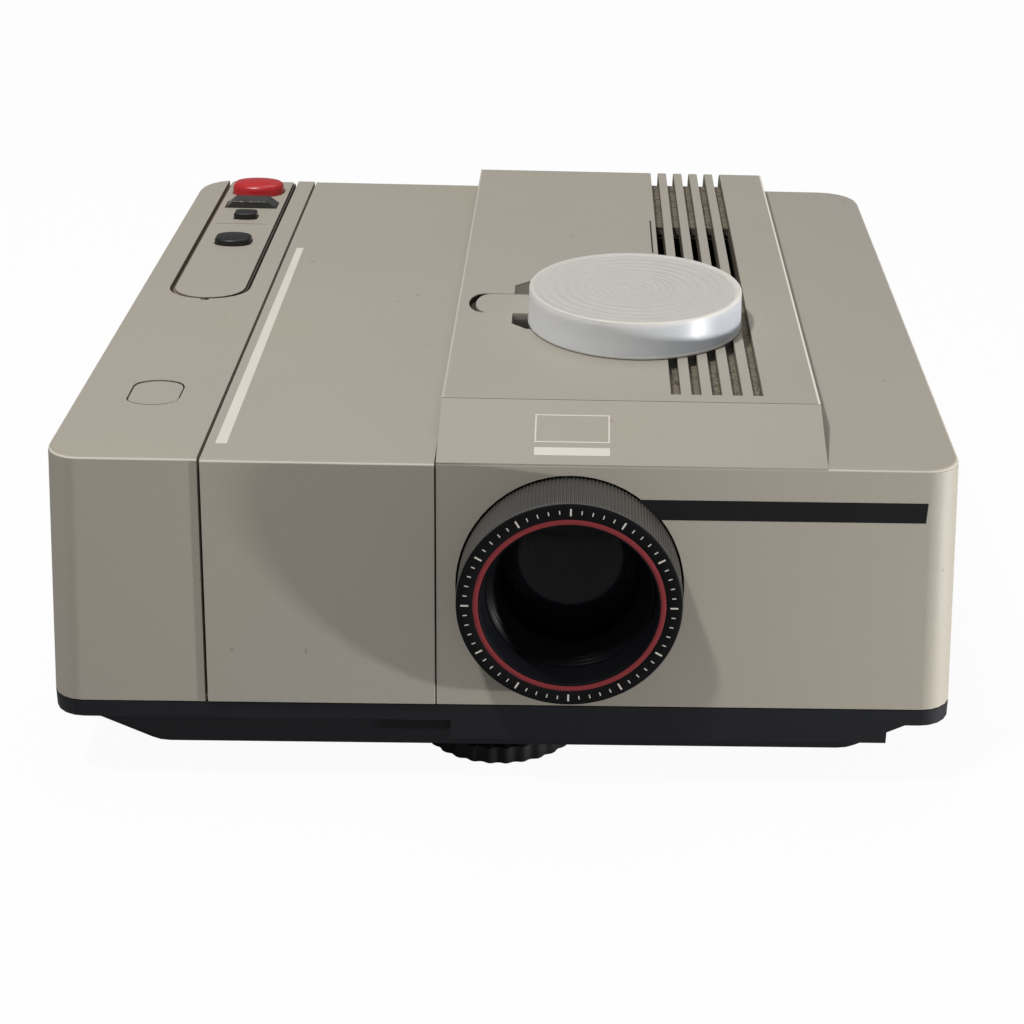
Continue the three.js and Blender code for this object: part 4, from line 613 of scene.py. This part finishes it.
# %% Measure the cap and mix its haze
cap_low, cap_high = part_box("lens_cap")
cap_scatter = {"Subsurface_Weight": 0.7, "Subsurface_Scale": 9 * mm}
cap_radii = (1.0, 0.95, 0.9)
haze_size, scuff_size = 14 * mm, 2.5 * mm
milky = Finish("milky_cap", srgb(222, 226, 229), 0.42, **cap_scatter)
milky.shader.inputs["Subsurface Radius"].default_value = cap_radii
haze = milky.noise(haze_size, detail=4.0)
scuffs = milky.between(milky.noise(scuff_size, detail=5.0), 0.56, 0.74)
wall_marks = haze * 0.6 + scuffs * 0.2
top_marks = haze * 0.4 + scuffs * 0.15
print("the cap is", round((cap_high.z - cap_low.z) / mm, 2), "mm tall")

# %% Colour the cap
left_lit_tones = (srgb(252, 250, 245), srgb(234, 233, 230))
right_shade_tones = (srgb(196, 200, 206), srgb(176, 182, 190))
top_shade_tones = (srgb(212, 207, 198), srgb(199, 194, 186))
lip_highlight_pale = srgb(252, 249, 241)
lip_highlight_share = 0.9
cap_smoothest = 0.38
dent_depth, dent_share = 0.25 * mm, 0.35
across, along, height = milky.axes()
# Painted shade darkens the wall and turns it bluish towards the right, a painted highlight lightens
# the lip, and the top gets its own painted shade.
toward_right_shade = milky.between(across, cap_low.x + 4 * mm, cap_high.x - 4 * mm)
lip = milky.between(height, cap_low.z + 1.2 * mm, cap_low.z + 0.9 * mm)
on_top = milky.between(height, cap_high.z - 1.3 * mm, cap_high.z - 0.6 * mm)
left_lit = milky.blend(wall_marks, *left_lit_tones)
right_shade = milky.blend(wall_marks, *right_shade_tones)
wall_tone = milky.blend(toward_right_shade, left_lit, right_shade)
wall_tone = milky.blend(lip * lip_highlight_share, wall_tone, lip_highlight_pale)
top_shade_tone = milky.blend(top_marks, *top_shade_tones)
milky.feed("Base Color", milky.blend(on_top, wall_tone, top_shade_tone))
milky.feed("Roughness", scuffs * 0.2 + cap_smoothest)
milky.feed("Normal", milky.bump(haze * 0.6 + scuffs * 0.1, dent_depth, dent_share))
print("the cap's finish has", len(milky.tree.nodes), "nodes")

# %% Mix the glass
glass = Finish("coated_glass", srgb(22, 24, 32), 0.06, Alpha=0.6, Specular_IOR_Level=0.3)
deep_glass = Finish("deep_glass", srgb(8, 9, 13), 0.3, Specular_IOR_Level=0.05)
lamp_glass = Finish("lamp_glass", srgb(244, 244, 240), 0.04, Transmission_Weight=1.0, IOR=1.46)
print("three kinds of glass mixed")

# %% [markdown]
# ## A finish for every part of the model
#
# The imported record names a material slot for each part. Most slots stand for one finish
# all over, so a table from slot to finish dresses them at once, and parts that need
# more get their own finish below.

# %% Dress the parts
slot_finishes = {
    "shell": shell,
    "base": base_black,
    "black": key_black,
    "inner": frame_black,
    "red": key_red,
    "milky": milky,
    "rubber": rubber,
    "glass": glass,
    "steel": steel,
    "sheet": sheet,
    "brass": brass,
    "copper": copper,
    "board": board_green,
    "ceramic": ceramic,
    "ivory": ivory,
}


def wear(thing, finish):
    """Takes a part's old materials off and puts one finish on."""
    thing.data.materials.clear()
    thing.data.materials.append(finish.material)


for part in frame["record"]["subparts"]:
    wear(nodes[part["node"]], slot_finishes[part["material_slot"]])
wear(nodes["lamp"], lamp_glass)
wear(nodes["lamp_cover"], cover_finish)
for name in ("control_housing", "remote_handset"):
    wear(nodes[name], groove_finish)
wear(nodes["remote_rocker"], rocker_gloss)
wear(nodes["blower_duct"], frame_black)

# %% [markdown]
# ## Rounded edges
#
# No moulded edge is sharp: it is rounded by a few tenths of a millimetre, and that round
# catches a thin line of light. The model's faces are triangles, so flat neighbours are
# first melted into one face, and a small node group shades every face and edge smooth.
# Then a Bevel modifier rounds what is left of the edges. All of it is done by modifiers,
# because they keep the model's own mesh as it was imported.

# %% Smooth the faces with nodes
smoother = bpy.data.node_groups.new("smoother", "GeometryNodeTree")
for direction in ("INPUT", "OUTPUT"):
    smoother.interface.new_socket("Geometry", in_out=direction, socket_type="NodeSocketGeometry")
smooth_node = "GeometryNodeSetShadeSmooth"
kinds = ("NodeGroupInput", smooth_node, smooth_node, "NodeGroupOutput")
stages = [smoother.nodes.new(kind) for kind in kinds]
stages[2].domain = "EDGE"
for before, after in zip(stages, stages[1:]):
    smoother.links.new(before.outputs[0], after.inputs[0])
print("the smoother has", len(smoother.nodes), "nodes")

# %% Round the edges of every part
weld_reach = 0.01 * mm
flat_angle = math.radians(1.0)
edge_angle = math.radians(28.0)
normal_weight = 60
inner_round = 0.12 * mm
edge_rounds = {
    0.3 * mm: ["control_housing", "remote_handset", "power_button", "cover_latch", "remote_rocker"],
    0.45 * mm: ["optics_housing", "tray_lid", "lamp_cover"],
    0.6 * mm: ["base_tub"],
}


def rounded(thing, width, segments):
    """Joins the loose triangles, melts flat neighbours into one face, and rounds the
    edges between the rest."""
    join = thing.modifiers.new("join", "WELD")
    join.merge_threshold = weld_reach
    melt = thing.modifiers.new("melt", "DECIMATE")
    melt.decimate_type = "DISSOLVE"
    melt.angle_limit = flat_angle
    soft = thing.modifiers.new("soft", "NODES")
    soft.node_group = smoother
    bevel = thing.modifiers.new("round", "BEVEL")
    bevel.width = width
    bevel.segments = segments
    bevel.limit_method = "ANGLE"
    bevel.angle_limit = edge_angle
    bevel.use_clamp_overlap = True
    level = thing.modifiers.new("level", "WEIGHTED_NORMAL")
    level.weight = normal_weight


outer_rounds = {name: width for width, names in edge_rounds.items() for name in names}
for name, thing in nodes.items():
    rounded(thing, outer_rounds.get(name, inner_round), 2 if name in outer_rounds else 1)
print("rounded", len(nodes), "parts, and", len(outer_rounds), "of them in two steps")

# %% [markdown]
# ## Turned shapes
#
# Round parts are made as they are on a lathe: an outline is turned about an axis. A
# Screw modifier would do it too, but plain loops let the radius vary round the turn,
# which gives the milled ridges of a grip. Every new mesh is added in one way: its edges
# are marked sharp by their angle, and it is tied to the body that it moves with.

# %% Add a piece to the model
sharp_angle = math.radians(38.0)


def mesh_of(name, points, faces):
    """A mesh whose faces all look outwards and are shaded smooth."""
    mesh = bpy.data.meshes.new(name)
    mesh.from_pydata(points, [], faces)
    shape = bmesh.new()
    shape.from_mesh(mesh)
    bmesh.ops.recalc_face_normals(shape, faces=shape.faces)
    for face in shape.faces:
        face.smooth = True
    shape.to_mesh(mesh)
    shape.free()
    mesh.set_sharp_from_angle(angle=sharp_angle)
    return mesh


def add_piece(mesh, finish, body, slot, *stands_for):
    """Puts a new mesh on a body of the model, with its finish. The slot is not used."""
    made = bpy.data.objects.new(mesh.name, mesh)
    bpy.context.scene.collection.objects.link(made)
    mesh.materials.append(finish.material)
    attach(made, body)
    if stands_for:
        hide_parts(*stands_for)
    print("added", mesh.name, "with", len(mesh.polygons), "faces")


# %% Turn an outline about an axis
def turned(name, middle, axis, profile, steps, ridge=None):
    """Turns (radius, along) points, in mm, about an axis. A profile that starts or ends
    off the axis is closed on itself, as a ring is."""
    rings, points, faces = [], [], []
    for row, (radius, along) in enumerate(profile):
        row_steps = 1 if radius == 0 else steps
        rings.append(list(range(len(points), len(points) + row_steps)))
        for step in range(row_steps):
            angle = 2 * math.pi * step / steps
            reach = (radius - (ridge(row, step) if ridge else 0)) * mm
            side, lift = reach * math.cos(angle), reach * math.sin(angle)
            offset = (side, along * mm, lift) if axis == "y" else (side, lift, along * mm)
            points.append(tuple(a + b for a, b in zip(middle, offset)))
    pairs = list(zip(rings, rings[1:]))
    if profile[0][0] and profile[-1][0]:
        pairs.append((rings[-1], rings[0]))
    for lower, upper in pairs:
        for step in range(steps):
            after = (step + 1) % steps
            a, b = lower[step % len(lower)], lower[after % len(lower)]
            c, d = upper[after % len(upper)], upper[step % len(upper)]
            faces.append(list(dict.fromkeys((a, b, c, d))))
    return mesh_of(name, points, faces)


# %% [markdown]
# ## The barrel of the lens
#
# The lens is the part that a hand turns to focus. Its grip has 180 fine milled ridges,
# its front is a flat black ring, a red ring is let into that, and behind it a stepped
# mouth keeps stray light out. The grip needs many steps round the turn and few along it,
# and the mouth needs the opposite, so they are two meshes.

# %% Turn the grip
lens_low, lens_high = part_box("lens_barrel")
lens_middle = ((lens_low.x + lens_high.x) / 2, lens_low.y, (lens_low.z + lens_high.z) / 2)
ridges, ridge_steps = 180, 4
ridge_rows = range(4, 8)
ridge_depth = 0.36
face_depth = 1.5 * mm
grip_profile = [
    (29.3, 80.4), (29.3, 31.0), (32.4, 31.0), (33.0, 30.4), (33.35, 30.0), (33.45, 29.6),
    (33.45, 2.0), (33.35, 1.7), (33.0, 1.3), (33.3, 0.9), (33.3, 0.45), (33.05, 0.14),
    (32.75, 0.03), (28.6, 0.03), (28.45, 0.14), (28.45, 1.3), (27.0, 1.3), (27.0, 80.4),
]


def milled(row, step):
    """Two steps of every four are cut down, along the straight part of the grip."""
    cut = row in ridge_rows and step % ridge_steps in (0, ridge_steps - 1)
    return ridge_depth if cut else 0.0


grip = turned("lens_grip", lens_middle, "y", grip_profile, ridges * ridge_steps, milled)
add_piece(grip, grip_grey, "lens", "black", "lens_barrel")
grip.materials.append(ring_black.material)
for face in grip.polygons:
    faces_front = abs(face.normal.y) > 0.5
    if faces_front and face.center.y < lens_middle[1] + face_depth:
        face.material_index = 1

# %% Turn the red ring and the mouth
ring_turn = 144
deep_from = 17.7 * mm
ring_profile = [
    (28.4, 0.09), (28.25, 0.03), (27.0, 0.03), (26.85, 0.09), (26.85, 1.25), (28.4, 1.25),
]
ring = turned("lens_ring", lens_middle, "y", ring_profile, ring_turn)
add_piece(ring, ring_red, "lens", "red", "lens_red_ring")

mouth_profile = [
    (26.95, 79.0), (26.95, 1.3), (26.8, 0.15), (26.5, 0.03), (26.3, 0.2), (26.1, 1.0),
    (25.3, 7.6), (25.3, 8.0), (20.9, 17.6), (20.4, 26.0), (15.6, 38.0), (14.6, 40.2),
    (14.2, 41.0), (13.8, 41.3), (13.4, 50.0), (12.9, 50.6), (12.9, 79.0),
]
mouth = turned("lens_mouth", lens_middle, "y", mouth_profile, ring_turn)
add_piece(mouth, mouth_black, "lens", "black", "lens_barrel")
mouth.materials.append(deep_black.material)
for face in mouth.polygons:
    if face.center.y > lens_middle[1] + deep_from:
        face.material_index = 1

# %% [markdown]
# ## The threads, the glass and the ticks
#
# Seven shallow turns stand in the mouth, to catch light that would else reach the slide
# from the side. The real ones may be a thread or plain grooves, and grooves are simpler
# to turn. The two glasses are turned too, each as a dome with a flat back. The ring's
# ticks are thin blocks, laid out round a circle.

# %% Turn the threads
threads, thread_pitch, thread_start = 7, 1.25, 8.2
thread_outer, thread_taper = 25.0, 0.58
thread_height, shoulder_height = 0.7, 0.62
thread_profile = []
for number in range(threads):
    start = thread_start + number * thread_pitch
    radius = thread_outer - number * thread_taper
    crest, shoulder = radius - thread_height, radius - shoulder_height
    thread_profile += [(radius, start), (shoulder, start + 0.35), (crest, start + 0.5)]
    thread_profile += [(shoulder, start + 0.65), (radius - 0.3, start + 0.95)]
thread_profile += [(radius, start + 1.1), (25.2, 17.4), (25.2, thread_start)]
thread_turns = turned("lens_threads", lens_middle, "y", thread_profile, ring_turn)
add_piece(thread_turns, thread_black, "lens", "black", "lens_barrel")

# %% Turn the two glasses
glass_turn = 96
dome_rows = 10
glasses = {
    "front_glass": {
        "finish": glass, "radius": 20.5, "front": 18.0, "bulge": 3.2, "thick": 4.0,
    },
    "inner_glass": {
        "finish": deep_glass, "radius": 13.3, "front": 43.0, "bulge": 2.5, "thick": 3.0,
    },
}
for name, size in glasses.items():
    shares = [row / dome_rows for row in range(dome_rows + 1)]
    radius, front, bulge = size["radius"], size["front"], size["bulge"]
    back = front + bulge + size["thick"]
    curve = [(radius * share, front + bulge * share**2) for share in shares]
    outline = [*curve, (radius, back), (0, back)]
    dome = turned(name, lens_middle, "y", outline, glass_turn)
    add_piece(dome, size["finish"], "lens", "glass", "front_lens")

# %% Lay the ticks round the front ring
tick_count, ticks_between_long = 60, 5
long_tick, short_tick = (29.6, 31.9, 0.26), (30.2, 31.4, 0.16)
tick_depth = 0.06
ticks, tick_faces = [], []
for number in range(tick_count):
    angle = 2 * math.pi * number / tick_count
    outward = Vector((math.cos(angle), 0, math.sin(angle)))
    sideways = Vector((-math.sin(angle), 0, math.cos(angle)))
    inner, outer, half = short_tick if number % ticks_between_long else long_tick
    first = len(ticks)
    for depth in (tick_depth, 0.0):
        for reach, side in ((inner, -half), (outer, -half), (outer, half), (inner, half)):
            point = Vector(lens_middle) + (outward * reach + sideways * side) * mm
            ticks.append((point.x, point.y + depth * mm, point.z))
    tick_faces.append([first + 4, first + 5, first + 6, first + 7])
    for i in range(4):
        j = (i + 1) % 4
        tick_faces.append([first + i, first + j, first + 4 + j, first + 4 + i])
add_piece(mesh_of("lens_ticks", ticks, tick_faces), print_white, "lens", "black")

# %% [markdown]
# ## The cap
#
# The cap lies closed end up. Its top is dished a little and marked with the shallow
# rings of the tool it was moulded in, and its rim is a thin rolled lip. It is turned
# like the lens, but about an upright axis. The rings could be a bump in the material,
# but they are real here, so that they also show in the exported mesh.

# %% Turn the cap
cap_middle = ((cap_low.x + cap_high.x) / 2, (cap_low.y + cap_high.y) / 2, cap_low.z)
cap_radius, cap_tall, cap_steps = 35.75, 12.25, 160
dish_depth, dish_bow = 0.55, 0.2
mark_height, mark_half = 0.09, 0.35
mark_radii = (2.6, 5.0, 7.4, 9.8, 12.2, 14.6, 17.0, 20.5, 24.0, 27.5, 31.0)
under_top = cap_tall - 1.9
cap_profile = [(0, cap_tall - dish_depth)]
for radius in mark_radii:
    level = cap_tall - dish_depth + dish_bow * (radius / cap_radius) ** 2
    cap_profile += [(radius - mark_half, level), (radius, level + mark_height)]
    cap_profile += [(radius + mark_half, level)]
cap_profile += [
    (33.6, cap_tall - 0.3), (34.1, cap_tall - 0.02), (34.6, cap_tall), (35.0, cap_tall - 0.1),
    (35.25, cap_tall - 0.4), (35.3, cap_tall - 1.0), (35.55, 1.1), (35.75, 0.8), (35.75, 0.15),
    (35.6, 0.0), (34.5, 0.0), (34.2, 0.3), (33.9, under_top), (0, under_top),
]
cap = turned("milky_cap", cap_middle, "z", cap_profile, cap_steps)
add_piece(cap, milky, "cap", "milky", "lens_cap")

# %% [markdown]
# ## The keys of the handset
#
# The keys are pressed from an outline seen from above, whose edge rolls over in a
# quarter circle, and their top is crowned a little for the finger. A cube with a Bevel
# modifier would give a rolled edge too, but not the bulging ends, so the outline is
# worked out in points and each next row of points moves inwards and up.

# %% Work out a key's outline and its rolled edge
roll_steps = 6
end_steps = 28


def bulged(middle, width, front, rear, bulge):
    """An outline with straight sides, whose ends bulge as half ellipses, in mm."""
    points = []
    for centre, start in ((front + bulge, math.pi), (rear - bulge, 0.0)):
        for step in range(end_steps + 1):
            angle = start + math.pi * step / end_steps
            across = middle + width / 2 * math.cos(angle)
            points.append((across, centre + bulge * math.sin(angle)))
    return points


def rolled(radius):
    """Inset and drop pairs of a quarter circle, from the side to the top."""
    for step in range(roll_steps + 1):
        angle = math.pi / 2 * step / roll_steps
        yield radius * (1 - math.cos(angle)), radius * (1 - math.sin(angle))


def inward_normals(outline, middle):
    """At each point of an outline, the direction that leads inwards."""
    for i, here in enumerate(outline):
        before, after = outline[i - 1], outline[(i + 1) % len(outline)]
        run = Vector((after[0] - before[0], after[1] - before[1])).normalized()
        normal = Vector((-run.y, run.x))
        if normal.dot(Vector((middle[0] - here[0], middle[1] - here[1]))) < 0:
            normal.negate()
        yield normal


print("an outline has", 2 * (end_steps + 1), "points")

# %% Press a key
crown_rows = ((0.6, 0.7), (0.2, 0.97))


def pressed(name, outline, low, high, roll, crown):
    """A key from its outline in mm: upright sides, a rolled edge and a crowned top. Each
    row of the crown has a share of the key's width and a share of the crown's height."""
    count = len(outline)
    middle = [sum(point[i] for point in outline) / count for i in (0, 1)]
    inward = list(inward_normals(outline, middle))
    rim = high - crown
    levels = [(0.0, low)] + [(inset, rim - drop) for inset, drop in rolled(roll)]
    points = [
        ((x + n.x * inset) * mm, (y + n.y * inset) * mm, z * mm)
        for inset, z in levels
        for (x, y), n in zip(outline, inward)
    ]
    edge = points[-count:]
    centre_x, centre_y = middle[0] * mm, middle[1] * mm
    for share, lift in crown_rows:
        for x, y, _ in edge:
            across = centre_x + (x - centre_x) * share
            along = centre_y + (y - centre_y) * share
            points.append((across, along, (rim + crown * lift) * mm))
    top = len(points) - count
    faces = []
    for lower in range(0, top, count):
        upper = lower + count
        for i in range(count):
            j = (i + 1) % count
            faces.append((lower + i, lower + j, upper + j, upper + i))
    faces += [tuple(range(count)), tuple(range(top, len(points)))]
    return mesh_of(name, points, faces)


# %% Press the three keys
remote_middle = -110.9
key_foot, red_top, black_top = 100.0, 108.0, 105.6
red_outline = bulged(remote_middle, 20.0, 125.5, 140.5, 6.0)
red_key = pressed("red_key", red_outline, key_foot, red_top, 2.4, 0.7)
add_piece(red_key, key_red, "key_red", "red", "remote_key_red")
small_outline = bulged(remote_middle, 8.6, 95.3, 102.1, 1.2)
small_key = pressed("small_key", small_outline, key_foot, black_top, 0.8, 0.2)
add_piece(small_key, key_black, "key_small", "black", "remote_key_small")
large_outline = bulged(remote_middle, 13.4, 62.0, 73.6, 4.0)
large_key = pressed("large_key", large_outline, key_foot, black_top, 1.1, 0.3)
add_piece(large_key, key_black, "key_large", "black", "remote_key_large")

# %% [markdown]
# ## The height foot
#
# The foot is a disc with soft ridges to turn it by, which lifts the front a little. Its
# ridges could be cut with a Boolean for each, but the same turning does it at once: the
# radius follows a wave round the disc.

# %% Turn the foot
foot_low, foot_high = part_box("foot_disc")
foot_middle = ((foot_low.x + foot_high.x) / 2, (foot_low.y + foot_high.y) / 2, 0.0)
foot_ridges, foot_ridge_steps = 30, 10
foot_ridge_rows = range(4, 9)
foot_ridge_depth = 0.75
foot_profile = [
    (0, 0.05), (20.6, 0.05), (21.0, 0.25), (23.6, 1.9), (25.2, 2.5), (25.8, 3.0), (25.85, 3.6),
    (25.85, 7.4), (25.6, 8.1), (25.0, 8.38), (7.0, 8.38), (0, 8.38),
]


def gripped(row, step):
    """A soft wave round the edge of the foot."""
    wave = 0.5 - 0.5 * math.cos(2 * math.pi * step / foot_ridge_steps)
    return foot_ridge_depth * wave if row in foot_ridge_rows else 0.0


foot_steps = foot_ridges * foot_ridge_steps
foot = turned("foot_grip", foot_middle, "z", foot_profile, foot_steps, gripped)
add_piece(foot, rubber, "foot", "rubber", "foot_disc")

# %% [markdown]
# ## The printed lines
#
# Ink lies a few hundredths of a millimetre above the plastic. Each printed mark is a
# plate that thin, laid on its own surface: a white stripe on the lid, a black one on the
# front, and a plain frame with a bar under it on the slope. The marks say nothing.

# %% Find the surfaces that carry ink
top_height = 103.0
front_edge_y = -132.98
front_lean = math.radians(8.9)
slope_rise, slope_run = 8.76, 28.3


def front_point(x, z):
    """A point of the leaning front at that height, in mm."""
    return (x, front_edge_y - (top_height - z) * math.tan(front_lean), z)


def slope_point(x, y):
    """A point of the slope above the lens, in mm."""
    return (x, y, top_height + (y - front_edge_y) * slope_rise / slope_run)


up_normal = (0, 0, 1)
front_normal = (0, -math.cos(front_lean), math.sin(front_lean))
slope_normal = (0, -slope_rise, slope_run)
print("the front leans by", round(math.degrees(front_lean), 1), "degrees")

# %% Write the plate maker
ink_low, ink_high = -0.02, 0.05


def plate(name, corners, normal, finish, body):
    """A printed plate from its corners in mm, a little sunk and a little raised."""
    out = Vector(normal).normalized()
    points = []
    for lift in (ink_low, ink_high):
        points += [tuple((Vector(corner) + out * lift) * mm) for corner in corners]
    count = len(corners)
    faces = [list(range(count)), list(range(count, 2 * count))]
    for i in range(count):
        j = (i + 1) % count
        faces.append([i, j, count + j, count + i])
    slot = "black" if finish is print_black else "milky"
    add_piece(mesh_of(name, points, faces), finish, body, slot)


# %% Print the two stripes
lid_stripe = [
    (-86.5, -121.9, top_height), (-83.1, -121.9, top_height),
    (-83.6, 61.8, top_height), (-86.2, 61.8, top_height),
]
plate("lid_stripe", lid_stripe, up_normal, print_white, "lid")
stripe_corners = ((34.0, 92.7), (34.0, 86.6), (124.7, 86.8), (125.1, 92.9))
front_stripe = [front_point(x, z) for x, z in stripe_corners]
plate("front_stripe", front_stripe, front_normal, print_black, "root")

# %% Print the frame, its bar and the line between the keys
line = 0.45
frame_left, frame_right, frame_front, frame_rear = 8.0, 30.4, -123.6, -111.4
bar_front, bar_rear = -129.2, -125.8
key_line_left, key_line_right, key_line_front, key_line_rear = -121.4, -101.5, 89.8, 90.3
bars = {
    "mark_rear": (frame_left, frame_right, frame_rear - line, frame_rear),
    "mark_front": (frame_left, frame_right, frame_front, frame_front + line),
    "mark_left": (frame_left, frame_left + line, frame_front + line, frame_rear - line),
    "mark_right": (frame_right - line, frame_right, frame_front + line, frame_rear - line),
    "mark_bar": (frame_left, frame_right, bar_front, bar_rear),
}


def corners_of(left, right, front, rear):
    """The four corners of a rectangle, in order."""
    return ((left, front), (right, front), (right, rear), (left, rear))


for name, sides in bars.items():
    bar = [slope_point(x, y) for x, y in corners_of(*sides)]
    plate(name, bar, slope_normal, print_white, "root")
key_line_sides = (key_line_left, key_line_right, key_line_front, key_line_rear)
key_line = [(x, y, top_height) for x, y in corners_of(*key_line_sides)]
plate("key_line", key_line, up_normal, print_grey, "remote")

# %% [markdown]
# ## The end
#
# The last cell prints a short message.

# %% Finish
print("the scene is dressed")
